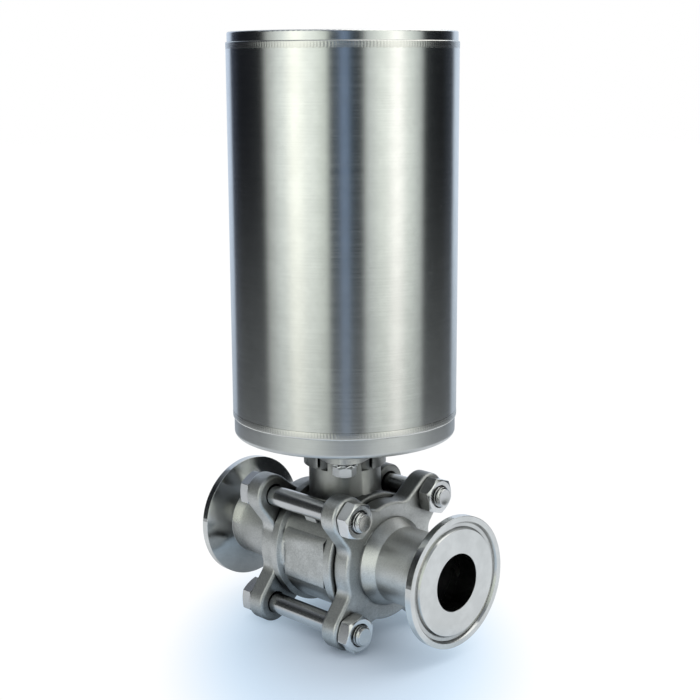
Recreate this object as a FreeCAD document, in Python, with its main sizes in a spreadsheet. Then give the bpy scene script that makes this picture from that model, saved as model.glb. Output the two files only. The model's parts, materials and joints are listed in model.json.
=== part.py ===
import FreeCAD, Part
import Sketcher
import math
import os
import re

# Pneumatic three-piece ball valve with clamp ferrules and a coaxial spring-return actuator.
# Every piece is drawn with the ball's centre at the origin, +X along the pipe and +Z up the
# stem, and is then raised so that the lower bolt lugs stand on z = 0.

SIZES = {
    # end caps and clamp ferrules
    "face_half": (59.0, "half of the face to face length"),
    "bore_radius": (11.05, "flow bore"),
    "bolt_offset": (22.3, "through bolts from the pipe axis, along Y and along Z"),
    "lug_radius": (8.0, "round end of a bolt lug"),
    "flange_radius": (23.4, "round part of the flange, between the lugs"),
    "flank_offset": (20.5, "foot of a lug's flank, from the pipe axis"),
    "flank_half": (7.0, "that foot, from the middle between two lugs"),
    "waist_round": (5.0, "fillet where a lug's flank meets the round part"),
    "flange_thick": (8.0, "flange"),
    "flange_round": (1.3, "edges of the flange"),
    "collar_radius": (17.4, "collar at the root of the pipe"),
    "collar_long": (0.9, "step of the collar on the flange"),
    "collar_round": (0.6, "edge of that step"),
    "hub_long": (6.0, "collar and cone, from the flange to the plain pipe"),
    "pipe_radius": (14.8, "outside of the pipe end"),
    "ferrule_radius": (25.25, "rim of the clamp ferrule"),
    "ferrule_rim": (2.85, "thickness of that rim"),
    "ferrule_slope": (20.0, "back of the rim, in degrees"),
    "gasket_radius": (21.75, "middle of the gasket groove"),
    "gasket_wide": (2.9, "mouth of the gasket groove"),
    "gasket_deep": (1.3, "depth of the gasket groove"),
    # centre body
    "body_half": (17.0, "half length of the centre body"),
    "body_radius": (25.2, "rims at the ends of the body"),
    "body_round": (0.8, "outer edges of the rims"),
    "rim_long": (3.8, "rim along the pipe"),
    "rim_slope": (1.0, "slope beside a rim, along the pipe"),
    "barrel_deep": (2.0, "body between the rims, under their size"),
    "panel_half_long": (11.0, "half length of the side panel"),
    "panel_half_high": (8.85, "half height of the side panel's face"),
    "panel_deep": (2.5, "side panel's face under the rims"),
    "panel_slope_in": (3.0, "slope above and below the panel, towards the stem"),
    "panel_slope_up": (2.4, "that slope, up or down"),
    "stem_neck_radius": (14.2, "neck round the stem"),
    "neck_root_round": (2.0, "fillet at the root of the neck"),
    "shoulder_radius": (16.2, "round shoulders under the pad"),
    "shoulder_slot_half": (10.5, "half width of the slot milled between the shoulders"),
    "shoulder_low": (35.2, "underside of the shoulders"),
    "pad_low": (40.8, "underside of the mounting pad"),
    "pad_high": (47.5, "top of the mounting pad"),
    "pad_bolt_circle": (18.0, "mounting bolts from the stem axis"),
    "pad_lug_radius": (8.2, "round end of the pad"),
    "head_relief": (6.0, "relief in the neck round a mounting bolt's head"),
    "head_relief_low": (33.4, "lower end of that relief"),
    "pocket_floor": (10.6, "pockets beside a mounting bolt, from the stem axis"),
    "pocket_near": (6.6, "their side next to the bolt, from its axis"),
    "pocket_far": (10.2, "their other side"),
    "pocket_low": (34.4, "their lower end"),
    # ball, seats and body seals
    "ball_radius": (18.0, "ball"),
    "ball_gap": (0.5, "cavity wall to ball"),
    "seat_gap": (0.1, "seat face to ball"),
    "seat_front": (10.5, "seat's inner face from the ball's centre"),
    "seat_recess": (2.5, "depth of the seat pocket in an end cap"),
    "seat_fit": (0.2, "play round a seat"),
    "seat_bore_extra": (0.25, "seat bore over the flow bore"),
    "body_seal_radius": (21.0, "middle of the body seal"),
    "body_seal_wide": (2.8, "body seal across"),
    "body_seal_deep": (1.4, "groove of the body seal"),
    "ball_bore_round": (0.6, "edges of the ball's bore"),
    "ball_slot_wide": (7.4, "driving slot in the ball"),
    "ball_slot_floor": (13.0, "floor of the driving slot"),
    # stem and its packing
    "stem_radius": (7.0, "stem"),
    "stem_fit": (0.05, "running play round the stem"),
    "stem_collar_radius": (9.0, "collar that keeps the stem in"),
    "stem_collar_low": (18.4, "underside of that collar"),
    "stem_collar_high": (21.4, "top of that collar"),
    "tongue_wide": (7.0, "tongue in the ball's slot"),
    "tongue_long": (14.0, "tongue along the slot"),
    "tongue_low": (13.3, "lower end of the tongue"),
    "collar_pocket_radius": (9.3, "pocket for the stem's collar"),
    "collar_pocket_high": (23.0, "top of that pocket"),
    "packing_low": (26.0, "floor of the packing chamber"),
    "packing_radius": (10.6, "packing chamber"),
    "packing_ring_high": (2.6, "pitch of the packing rings"),
    "packing_ring_vee": (0.8, "height of their vee"),
    "gland_high": (3.1, "gland ring"),
    "disc_spring_thick": (0.6, "disc spring"),
    "disc_spring_cone": (0.8, "rise of a disc spring"),
    "stem_nut_across": (17.0, "stem nut across flats"),
    "stem_nut_high": (4.6, "stem nut"),
    "stem_square": (11.0, "driving square of the stem"),
    "stem_square_low": (45.2, "lower end of that square"),
    "stem_high": (60.0, "top of the stem"),
    # fasteners
    "bolt_radius": (4.0, "through bolt"),
    "bolt_play": (0.35, "through bolt in its hole"),
    "bolt_across": (13.0, "head and nut across flats"),
    "bolt_head_high": (5.3, "head of a through bolt"),
    "nut_high": (5.7, "nut of a through bolt"),
    "bolt_tip": (2.4, "through bolt past its nut"),
    "pad_bolt_radius": (2.45, "mounting bolt"),
    "pad_bolt_play": (0.3, "mounting bolt in the pad"),
    "pad_bolt_across": (8.0, "mounting bolt across flats"),
    "pad_bolt_head_high": (3.8, "head of a mounting bolt"),
    "pad_bolt_depth": (7.5, "mounting bolt in the actuator"),
    "tooth_washer_radius": (5.0, "toothed lock washer"),
    "tooth_washer_thick": (1.4, "toothed lock washer"),
    "plain_washer_thick": (1.0, "plain washer between it and the pad"),
    "thread_play": (0.05, "thread flanks"),
    # actuator housing
    "tube_radius": (43.55, "actuator tube"),
    "tube_wall": (2.55, "wall of the tube"),
    "tube_low": (56.4, "lower end of the tube"),
    "tube_high": (195.6, "upper end of the tube"),
    "cap_step": (0.5, "welded covers under the tube's size"),
    "cap_round": (1.8, "outer edge of the lower cover"),
    "top_round": (0.7, "outer edge of the upper cover"),
    "actuator_high": (200.4, "top of the actuator"),
    "weld_prep": (1.3, "bevel for the weld"),
    "weld_rise": (1.4, "weld bead on a cover"),
    "weld_bulge": (0.15, "weld bead over the tube"),
    "spigot_fit": (0.05, "covers in the tube"),
    "cover_floor": (69.5, "inner face of the lower cover"),
    "top_spigot_low": (182.0, "lower end of the upper cover's spigot"),
    "top_recess_radius": (26.0, "recess over the piston's tower"),
    "top_recess_high": (192.0, "ceiling of that recess"),
    "port_radius": (4.28, "core of the one eighth inch air ports"),
    "port_deep": (9.0, "depth of the air ports"),
    "port_mouth_radius": (5.5, "opening in the tube at a port"),
    "low_port_high": (63.0, "lower air port"),
    "high_port_high": (189.0, "upper air port"),
    "plug_gap": (3.0, "breather plug from the floor of its port"),
    "plug_head_radius": (5.2, "head of the breather plug"),
    "plug_sunk": (0.6, "breather plug's head under the tube's surface"),
    "plug_slot_wide": (1.2, "screwdriver slot of the breather plug"),
    "plug_slot_deep": (0.9, "depth of that slot"),
    "duct_radius": (1.5, "duct from a port to its chamber"),
    "small_circle": (18.0, "smallest mounting circle"),
    "middle_circle": (25.0, "middle mounting circle"),
    "large_circle": (35.0, "largest mounting circle"),
    "small_tap": (2.5, "core of its threads, also of the middle circle"),
    "large_tap": (3.4, "core of the largest circle's threads"),
    "tap_depth": (9.0, "depth of the mounting threads"),
    # cam shaft and its bearings
    "journal_radius": (13.0, "journal of the cam shaft"),
    "journal_low": (47.9, "lower end of the cam shaft"),
    "journal_room": (0.3, "cover bore round the journal"),
    "bush_fit": (0.04, "running play in the bush"),
    "bush_wall": (1.55, "shaft bush"),
    "bush_low": (49.5, "lower end of the bush"),
    "bush_long": (7.5, "bush"),
    "seal_low": (57.6, "lower end of the shaft seal's groove"),
    "seal_groove_high": (2.8, "shaft seal's groove"),
    "shaft_seal_section": (1.2, "shaft seal's section radius"),
    "thrust_low": (61.0, "floor of the thrust washer"),
    "thrust_thick": (2.0, "thrust washer"),
    "thrust_play": (0.05, "shaft flange on its washer"),
    "shaft_flange_radius": (20.5, "flange of the cam shaft"),
    "shaft_flange_high": (4.0, "flange of the cam shaft"),
    "thrust_pocket_radius": (21.0, "pocket for that flange"),
    "ring_thick": (1.2, "retaining ring"),
    "ring_bite": (1.2, "retaining ring in its groove"),
    "cam_radius": (18.0, "cam sleeve"),
    "cam_bore": (13.3, "bore of the cam sleeve"),
    "cam_floor": (74.0, "floor of that bore"),
    "cam_high": (146.0, "top of the cam sleeve"),
    "drive_square": (14.0, "driving square of the actuator"),
    "square_play": (0.06, "play on each side of a driving square"),
    "drive_square_deep": (18.0, "depth of the driving square"),
    "reducer_low": (48.2, "lower end of the square reducer"),
    "reducer_high": (62.0, "top of the square reducer"),
    # piston, rollers and guide
    "stroke": (40.0, "lift of the piston for a quarter turn"),
    "piston_low": (70.0, "underside of the piston, closed"),
    "piston_thick": (16.0, "piston plate"),
    "piston_play": (0.4, "piston in the tube"),
    "piston_hollow_inset": (2.5, "hollow under the plate, outside the tower"),
    "piston_rim": (4.6, "rim of the plate outside that hollow"),
    "piston_hollow_deep": (7.5, "depth of that hollow"),
    "tower_radius": (25.0, "piston tower"),
    "tower_room": (0.35, "tower over the cam sleeve"),
    "tower_ceiling": (146.6, "inner top of the tower, closed"),
    "tower_high": (151.0, "top of the tower, closed"),
    "socket_radius": (11.5, "guide socket inside the tower"),
    "socket_low": (77.0, "lower end of the guide socket"),
    "socket_floor": (80.0, "floor of the guide socket"),
    "piston_seal_section": (1.9, "piston seal's section radius"),
    "piston_seal_high": (81.6, "middle of the piston seal"),
    "guide_band_low": (72.2, "lower edge of the guide band"),
    "guide_band_high": (5.0, "guide band"),
    "guide_band_thick": (1.6, "guide band"),
    "pin_high": (95.0, "roller pins, closed"),
    "pin_radius": (3.0, "roller pin"),
    "pin_inner": (12.3, "inner end of a roller pin"),
    "roller_radius": (6.0, "cam roller"),
    "roller_inner": (13.5, "inner face of a roller"),
    "roller_long": (3.6, "cam roller along its pin"),
    "roller_round": (0.4, "edges of a roller"),
    "slot_end_room": (0.25, "hole drilled at each end of a slot, over its half width"),
    "slot_play": (0.3, "slot flank to roller"),
    "clip_radius": (4.6, "clip on a roller pin"),
    "clip_thick": (0.7, "clip on a roller pin"),
    "post_across": (13.0, "hexagonal guide post"),
    "post_play": (0.3, "guide post in its socket, each side"),
    "post_low": (120.0, "lower end of the guide post"),
    "post_seat_deep": (4.4, "guide post in the upper cover"),
    # springs
    "outer_wire": (3.0, "outer spring's wire radius"),
    "outer_turns": (6.5, "outer spring's turns"),
    "inner_wire": (2.5, "inner spring's wire radius"),
    "inner_turns": (7.5, "inner spring's turns"),
    "spring_plate_thick": (2.0, "plate over the springs"),
}

PLACES = {
    "axis_high": "bolt_offset + lug_radius",
    "flange_out": "body_half + flange_thick",
    "collar_end": "flange_out + collar_long",
    "hub_end": "flange_out + hub_long",
    "barrel_radius": "body_radius - barrel_deep",
    "rim_start": "body_half - rim_long",
    "rim_back": "face_half - ferrule_rim",
    "cone_start": "rim_back - (ferrule_radius - pipe_radius) * tan(ferrule_slope * 1 deg)",
    "panel_offset": "body_radius - panel_deep",
    "cavity_radius": "ball_radius + ball_gap",
    "seat_back": "body_half + seat_recess",
    "seat_radius": "cavity_radius - seat_fit",
    "seat_bore": "bore_radius + seat_bore_extra",
    "seal_floor": "body_half - body_seal_deep",
    "stem_hole": "stem_radius + stem_fit",
    "packing_top": "packing_low + 3 * packing_ring_high",
    "packing_outer": "packing_radius - 2 * stem_fit",
    "packing_middle": "(stem_hole + packing_outer) / 2",
    "gland_low": "packing_top + stem_fit",
    "gland_top": "gland_low + gland_high",
    "loose_inner": "stem_radius + 6 * stem_fit",
    "loose_outer": "packing_radius - 6 * stem_fit",
    "disc_low": "gland_top + 2 * stem_fit",
    "disc_middle": "disc_low + disc_spring_cone + disc_spring_thick",
    "disc_top": "disc_middle + disc_spring_cone + disc_spring_thick",
    "bolt_hole": "bolt_radius + bolt_play",
    "bolt_shank": "2 * flange_out + nut_high + bolt_tip",
    "pad_bolt_hole": "pad_bolt_radius + pad_bolt_play",
    "washers_thick": "tooth_washer_thick + plain_washer_thick",
    "bolt_head_top": "pad_low - washers_thick",
    "plain_washer_low": "pad_low - plain_washer_thick",
    "pad_bolt_shank": "washers_thick + pad_high - pad_low + pad_bolt_depth",
    "tube_bore": "tube_radius - tube_wall",
    "cap_radius": "tube_radius - cap_step",
    "spigot_radius": "tube_bore - spigot_fit",
    "port_floor": "spigot_radius - port_deep",
    "journal_bore": "journal_radius + journal_room",
    "bush_inner": "journal_radius + bush_fit",
    "bush_outer": "bush_inner + bush_wall",
    "bush_high": "bush_low + bush_long",
    "seal_outer": "journal_radius + 2 * shaft_seal_section + 0.2",
    "seal_high": "seal_low + seal_groove_high",
    "thrust_high": "thrust_low + thrust_thick",
    "shaft_flange_low": "thrust_high + thrust_play",
    "shaft_flange_top": "shaft_flange_low + shaft_flange_high",
    "ring_low": "shaft_flange_top + thrust_play",
    "ring_high": "ring_low + ring_thick",
    "ring_groove_radius": "thrust_pocket_radius + ring_bite",
    "piston_high": "piston_low + piston_thick",
    "piston_radius": "tube_bore - piston_play",
    "tower_bore": "cam_radius + tower_room",
    "piston_seal_groove": "tube_bore - 2 * piston_seal_section - 0.1",
    "guide_band_groove": "tube_bore - guide_band_thick - 0.1",
    "roller_outer": "roller_inner + roller_long",
    "piston_hollow_low_radius": "tower_radius + piston_hollow_inset",
    "piston_hollow_high_radius": "piston_radius - piston_rim",
    "slot_half": "roller_radius + slot_play",
    "slot_radius": "(cam_bore + cam_radius) / 2",
    "spring_gap": "(tube_bore - tower_radius - 2 * outer_wire - 2 * inner_wire) / 3",
    "outer_coil": "tube_bore - spring_gap - outer_wire",
    "inner_coil": "tower_radius + spring_gap + inner_wire",
    "spring_low": "piston_high",
    "spring_high": "top_spigot_low - spring_plate_thick",
}

EDGE = 0.01
OVERCUT = 1.0
FIRST_SIZE = 30.0
# How the four nuts happen to stand on their bolts, in degrees, by side and level.
NUT_TURNS = {(-1, -1): -15, (-1, 1): 15, (1, -1): 3, (1, 1): 12}
UP = FreeCAD.Vector(0, 0, 1)
ALONG = FreeCAD.Vector(1, 0, 0)

doc = FreeCAD.newDocument("ball_valve")


def make_sheet(name, rows):
    """Spreadsheet with one row for each name: name, cell, note."""
    sheet = doc.addObject("Spreadsheet::Sheet", name)
    for row, (alias, content, note) in enumerate(rows, start=1):
        sheet.set(f"A{row}", alias)
        sheet.set(f"B{row}", content)
        sheet.set(f"C{row}", note)
        sheet.setAlias(f"B{row}", alias)
    return sheet


def formula(text):
    """Writes the sheet's name before each size or place that a formula uses."""
    def owner(match):
        word = match.group(0)
        if word in SIZES:
            return "sizes." + word
        if word in PLACES:
            return "places." + word
        return word
    return re.sub(r"[a-z_]+", owner, str(text))


sizes = make_sheet("sizes", [(name, str(value), note) for name, (value, note) in SIZES.items()])
doc.recompute()
places = make_sheet("places", [(name, "=" + formula(text), "") for name, text in PLACES.items()])
doc.recompute()


def number(text):
    """Value of one named size or place, with an optional minus sign, or of a plain number."""
    text = str(text)
    if text.startswith("-"):
        return -number(text[1:])
    if text in SIZES:
        return float(sizes.get(text))
    if text in PLACES:
        return float(places.get(text))
    return float(text)


def new_body(label, turn=0.0):
    """Body of one piece, raised to its height over the ground and turned about the stem axis."""
    body = doc.addObject("PartDesign::Body", label)
    body.Label = label
    body.Placement.Rotation = FreeCAD.Rotation(UP, turn)
    body.setExpression("Placement.Base.z", formula("axis_high"))
    return body


def new_sketch(body, plane, label, offset="0", turn=0.0):
    """Sketch on one of the body's own origin planes, moved along its normal by a formula."""
    sketch = body.newObject("Sketcher::SketchObject", label)
    origin = [item for item in body.Origin.OriginFeatures if item.Role == plane]
    sketch.AttachmentSupport = [(origin[0], "")]
    sketch.MapMode = "FlatFace"
    sketch.AttachmentOffset = FreeCAD.Placement(FreeCAD.Vector(), FreeCAD.Rotation(UP, turn))
    sketch.setExpression("AttachmentOffset.Base.z", formula(offset))
    return sketch


def bind(sketch, kind, first, text):
    """Adds a driven dimension whose value is a formula of the sheet."""
    index = sketch.addConstraint(Sketcher.Constraint(kind, *first, 1.0))
    sketch.setExpression(f"Constraints[{index}]", formula(text))


def draw_polygon(sketch, corners):
    """Closed outline through corners, each a pair of formulas (across, up)."""
    count = len(corners)
    first = sketch.GeometryCount
    ring = [FreeCAD.Vector(math.cos(2 * math.pi * k / count), math.sin(2 * math.pi * k / count), 0)
            for k in range(count)]
    for k in range(count):
        sketch.addGeometry(
            Part.LineSegment(ring[k] * FIRST_SIZE, ring[(k + 1) % count] * FIRST_SIZE), False)
    for k in range(count):
        sketch.addConstraint(Sketcher.Constraint("Coincident", first + k, 2, first + (k + 1) % count, 1))
    for k, (across, up) in enumerate(corners):
        bind(sketch, "DistanceX", (-1, 1, first + k, 1), across)
        bind(sketch, "DistanceY", (-1, 1, first + k, 1), up)


def draw_circle(sketch, across, up, radius):
    """Circle with its centre and radius given by formulas."""
    circle = Part.Circle(FreeCAD.Vector(1, 1, 0), UP, 2.0)
    index = sketch.addGeometry(circle, False)
    bind(sketch, "DistanceX", (-1, 1, index, 3), across)
    bind(sketch, "DistanceY", (-1, 1, index, 3), up)
    bind(sketch, "Radius", (index,), radius)


def draw_belt(sketch, rounds):
    """Closed outline of tangent lines round discs, anticlockwise; a disc of radius 0 is a corner.

    rounds holds (across, up, radius) as named sizes. A line between two discs leaves the first
    where the outward normal n meets n . (c2 - c1) = r1 - r2.
    """
    discs = [(FreeCAD.Vector(number(a), number(u), 0), number(r)) for a, u, r in rounds]
    count = len(discs)
    normals = []
    for k in range(count):
        (start, r_start), (end, r_end) = discs[k], discs[(k + 1) % count]
        run = end - start
        along = run * (1 / run.Length)
        side = FreeCAD.Vector(along.y, -along.x, 0)
        lean = (r_start - r_end) / run.Length
        normals.append(along * lean + side * math.sqrt(1 - lean * lean))
    lines = []
    for k in range(count):
        (start, r_start), (end, r_end) = discs[k], discs[(k + 1) % count]
        lines.append(sketch.addGeometry(
            Part.LineSegment(start + normals[k] * r_start, end + normals[k] * r_end), False))
    for k, (across, up, radius) in enumerate(rounds):
        before = lines[k - 1]
        after = lines[k]
        if discs[k][1] == 0:
            sketch.addConstraint(Sketcher.Constraint("Coincident", before, 2, after, 1))
            bind(sketch, "DistanceX", (-1, 1, after, 1), across)
            bind(sketch, "DistanceY", (-1, 1, after, 1), up)
            continue
        start = math.atan2(normals[k - 1].y, normals[k - 1].x)
        end = math.atan2(normals[k].y, normals[k].x)
        circle = Part.Circle(discs[k][0], UP, discs[k][1])
        arc = sketch.addGeometry(Part.ArcOfCircle(circle, start, end), False)
        sketch.addConstraint(Sketcher.Constraint("Tangent", before, 2, arc, 1))
        sketch.addConstraint(Sketcher.Constraint("Tangent", arc, 2, after, 1))
        bind(sketch, "DistanceX", (-1, 1, arc, 3), across)
        bind(sketch, "DistanceY", (-1, 1, arc, 3), up)
        bind(sketch, "Radius", (arc,), radius)


def previous_tip(body):
    """Volume of the body so far."""
    return body.Tip.Shape.Volume if body.Tip else 0.0


def turned(body, label, corners, axis="V_Axis", plane="XZ_Plane", cut=False, offset="0", turn=0.0):
    """Turns a closed outline about the sketch's axis, as added or as removed material."""
    before = previous_tip(body)
    sketch = new_sketch(body, plane, label + "_outline", offset, turn)
    draw_polygon(sketch, corners)
    feature = body.newObject("PartDesign::Groove" if cut else "PartDesign::Revolution", label)
    feature.Profile = sketch
    feature.ReferenceAxis = (sketch, [axis])
    feature.Angle = 360
    doc.recompute()
    check_change(feature, before, cut)
    return feature


def check_change(feature, before, cut):
    """Stops when a feature that should cut adds nothing away, or the other way round."""
    change = feature.Shape.Volume - before
    if (change >= 0) == cut or abs(change) < 1e-6:
        raise RuntimeError(f"{feature.Label} changed the volume by {change:.3f}")


def extruded(body, label, sketch, length, cut=False, reverse=False):
    """Pad or pocket of a sketch; a pocket goes along the sketch's normal unless reversed."""
    before = previous_tip(body)
    feature = body.newObject("PartDesign::Pocket" if cut else "PartDesign::Pad", label)
    feature.Profile = sketch
    feature.setExpression("Length", formula(length))
    feature.Reversed = (not reverse) if cut else reverse
    doc.recompute()
    check_change(feature, before, cut)
    return feature


def rounded(body, label, radius, chosen, kind="PartDesign::Fillet"):
    """Fillet or chamfer on the edges that a test picks."""
    base = body.Tip
    names = [f"Edge{k}" for k, edge in enumerate(base.Shape.Edges, start=1) if chosen(edge)]
    if not names:
        raise RuntimeError(f"{label} finds no edge")
    feature = body.newObject(kind, label)
    feature.Base = (base, names)
    feature.setExpression("Radius" if kind.endswith("Fillet") else "Size", formula(radius))
    doc.recompute()
    if feature.Shape.isNull() or not feature.Shape.isValid():
        raise RuntimeError(f"{label} fails on {names}")
    return feature


def is_circle(edge, radius, centre=None):
    """Whether an edge is round with this radius and, where given, this centre."""
    if edge.Degenerated:
        return False
    curve = edge.Curve
    if not isinstance(curve, Part.Circle) or abs(curve.Radius - radius) > EDGE:
        return False
    return centre is None or (curve.Center - centre).Length < EDGE


def in_plane(edge, axis, place):
    """Whether every point of an edge lies at one place along x, y or z."""
    points = edge.discretize(5)
    return all(abs(getattr(point, axis) - place) < EDGE for point in points)


def placed_copies(label, template, placements):
    """Group of equal solids: copies of a template body's shape at several placements."""
    solids = []
    for place in placements:
        copy = template.Tip.Shape.copy()
        copy.Placement = place.multiply(copy.Placement)
        solids.append(copy)
    group = doc.addObject("Part::Feature", label)
    group.Label = label
    group.Shape = Part.makeCompound(solids)
    group.setExpression("Placement.Base.z", formula("axis_high"))
    return group


# End caps: lobed flange, collar, pipe end and clamp ferrule in one casting

def end_cap(label, turn):
    """Cap at the +X end; the other one is the same piece turned half round."""
    body = new_body(label, turn)
    flange = new_sketch(body, "YZ_Plane", "flange_outline", "body_half")
    quarter = [("flank_offset", "-flank_half"), ("flank_offset", "flank_half")]
    rounds = []
    for step in range(4):
        for across, up in quarter:
            rounds.append(quarter_turns(across, up, step) + ("0",))
        rounds.append(quarter_turns("bolt_offset", "bolt_offset", step) + ("lug_radius",))
    draw_belt(flange, rounds)
    extruded(body, "lugs", flange, "flange_thick")
    disc = new_sketch(body, "YZ_Plane", "flange_circle", "body_half")
    draw_circle(disc, "0", "0", "flange_radius")
    extruded(body, "flange", disc, "flange_thick")
    rounded(body, "waist", "waist_round",
            lambda edge: along_pipe_at(edge, number("flange_radius")))
    front = number("flange_out")
    back = number("body_half")
    rounded(body, "flange_edges", "flange_round",
            lambda edge: in_plane(edge, "x", front) or in_plane(edge, "x", back))
    turned(body, "pipe_end", [
        ("body_half + 1", "0"),
        ("body_half + 1", "collar_radius"),
        ("collar_end", "collar_radius"),
        ("hub_end", "pipe_radius"),
        ("cone_start", "pipe_radius"),
        ("rim_back", "ferrule_radius"),
        ("face_half", "ferrule_radius"),
        ("face_half", "0")], axis="H_Axis")
    collar_edge = FreeCAD.Vector(number("collar_end"), 0, 0)
    rounded(body, "collar_edge", "collar_round",
            lambda edge: is_circle(edge, number("collar_radius"), collar_edge))
    turned(body, "flow_bore", [
        (f"body_half - {OVERCUT}", "0"),
        (f"body_half - {OVERCUT}", "cavity_radius"),
        ("seat_back", "cavity_radius"),
        ("seat_back", "bore_radius"),
        (f"face_half + {OVERCUT}", "bore_radius"),
        (f"face_half + {OVERCUT}", "0")], axis="H_Axis", cut=True)
    turned(body, "gasket_groove", [
        ("face_half", "gasket_radius - gasket_wide / 2"),
        ("face_half - gasket_deep", "gasket_radius - gasket_wide / 4"),
        ("face_half - gasket_deep", "gasket_radius + gasket_wide / 4"),
        ("face_half", "gasket_radius + gasket_wide / 2")], axis="H_Axis", cut=True)
    holes = new_sketch(body, "YZ_Plane", "bolt_hole_circles", f"body_half - {OVERCUT}")
    for step in range(4):
        across, up = quarter_turns("bolt_offset", "bolt_offset", step)
        draw_circle(holes, across, up, "bolt_hole")
    extruded(body, "bolt_holes", holes, f"flange_thick + 2 * {OVERCUT}", cut=True)
    return body


def quarter_turns(across, up, steps):
    """A point given by two names, turned by quarter turns about the sketch's origin."""
    for _ in range(steps):
        across, up = negative(up), across
    return across, up


def negative(text):
    """The same name with the other sign."""
    return text[1:] if text.startswith("-") else "-" + text


def along_pipe_at(edge, radius):
    """Whether an edge runs along the pipe at this distance from its axis."""
    if not isinstance(edge.Curve, Part.Line):
        return False
    ends = [vertex.Point for vertex in edge.Vertexes]
    runs_along = abs(ends[0].x - ends[1].x) > EDGE
    return runs_along and all(abs(math.hypot(point.y, point.z) - radius) < EDGE for point in ends)


# Centre body: round casting, stem neck, shoulders and two-lug mounting pad

def valve_body():
    """Round body between the caps with the neck that carries the actuator."""
    body = new_body("valve_body")
    turned(body, "barrel", [
        ("-body_half", "0"),
        ("-body_half", "barrel_radius"),
        ("body_half", "barrel_radius"),
        ("body_half", "0")], axis="H_Axis")
    neck = new_sketch(body, "XY_Plane", "neck_circle")
    draw_circle(neck, "0", "0", "stem_neck_radius")
    extruded(body, "neck", neck, "pad_low")
    rounded(body, "neck_root", "neck_root_round", is_neck_root)
    body_rims(body)
    side_panels(body)
    shoulders = new_sketch(body, "XY_Plane", "shoulder_circle", "shoulder_low")
    draw_circle(shoulders, "0", "0", "shoulder_radius")
    extruded(body, "shoulders", shoulders, "pad_low - shoulder_low")
    slot = new_sketch(body, "XY_Plane", "shoulder_slot_outline", "shoulder_low", turn=-45)
    draw_box(slot, "shoulder_radius + 1", "shoulder_slot_half")
    extruded(body, "shoulder_slot", slot, "pad_low - shoulder_low", cut=True)
    core = new_sketch(body, "XY_Plane", "neck_core_circle", "shoulder_low")
    draw_circle(core, "0", "0", "stem_neck_radius")
    extruded(body, "neck_core", core, "pad_low - shoulder_low")
    pad = new_sketch(body, "XY_Plane", "pad_outline", "pad_low", turn=-45)
    draw_belt(pad, [
        ("pad_bolt_circle", "0", "pad_lug_radius"),
        ("0", "0", "shoulder_radius"),
        ("-pad_bolt_circle", "0", "pad_lug_radius"),
        ("0", "0", "shoulder_radius")])
    extruded(body, "pad", pad, "pad_high - pad_low")
    pockets = new_sketch(body, "XY_Plane", "bolt_pocket_outlines", "pocket_low", turn=-45)
    for across, reach in (("pocket_floor", "shoulder_radius"), ("-shoulder_radius", "-pocket_floor")):
        for near, far in (("pocket_near", "pocket_far"), ("-pocket_far", "-pocket_near")):
            draw_polygon(pockets, [(across, near), (reach, near), (reach, far), (across, far)])
    extruded(body, "bolt_pockets", pockets, "pad_low - pocket_low", cut=True)
    for label, low, high, radius in (
            ("head_reliefs", "head_relief_low", "pad_low", "head_relief"),
            ("pad_holes", "pad_low - 1", "pad_high + 1", "pad_bolt_hole")):
        circles = new_sketch(body, "XY_Plane", label + "_circles", low, turn=-45)
        draw_circle(circles, "pad_bolt_circle", "0", radius)
        draw_circle(circles, "-pad_bolt_circle", "0", radius)
        extruded(body, label, circles, f"{high} - ({low})", cut=True)
    turned(body, "cavity", [
        ("-body_half - 1", "0"),
        ("-body_half - 1", "cavity_radius"),
        ("body_half + 1", "cavity_radius"),
        ("body_half + 1", "0")], axis="H_Axis", cut=True)
    for side, sign in (("right", ""), ("left", "-")):
        turned(body, side + "_seal_groove", [
            (f"{sign}seal_floor", "body_seal_radius - body_seal_wide / 2"),
            (f"{sign}(body_half + 1)", "body_seal_radius - body_seal_wide / 2"),
            (f"{sign}(body_half + 1)", "body_seal_radius + body_seal_wide / 2"),
            (f"{sign}seal_floor", "body_seal_radius + body_seal_wide / 2")], axis="H_Axis", cut=True)
    turned(body, "stem_bore", [
        ("0", "ball_radius / 2"),
        ("collar_pocket_radius", "ball_radius / 2"),
        ("collar_pocket_radius", "collar_pocket_high"),
        ("stem_hole", "collar_pocket_high"),
        ("stem_hole", "packing_low"),
        ("packing_radius", "packing_low"),
        ("packing_radius", "pad_high + 1"),
        ("0", "pad_high + 1")], cut=True)
    return body


def body_rims(body):
    """Raised rims at both ends of the barrel, sloping down to it."""
    for side, sign in (("right", ""), ("left", "-")):
        turned(body, side + "_rim", [
            (f"{sign}(rim_start - rim_slope)", "barrel_radius"),
            (f"{sign}rim_start", "body_radius"),
            (f"{sign}body_half", "body_radius"),
            (f"{sign}body_half", "cavity_radius"),
            (f"{sign}(rim_start - rim_slope)", "cavity_radius")], axis="H_Axis")
    ends = [FreeCAD.Vector(sign * number("body_half"), 0, 0) for sign in (-1, 1)]
    rounded(body, "rim_edges", "body_round",
            lambda edge: any(is_circle(edge, number("body_radius"), end) for end in ends))


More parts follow.
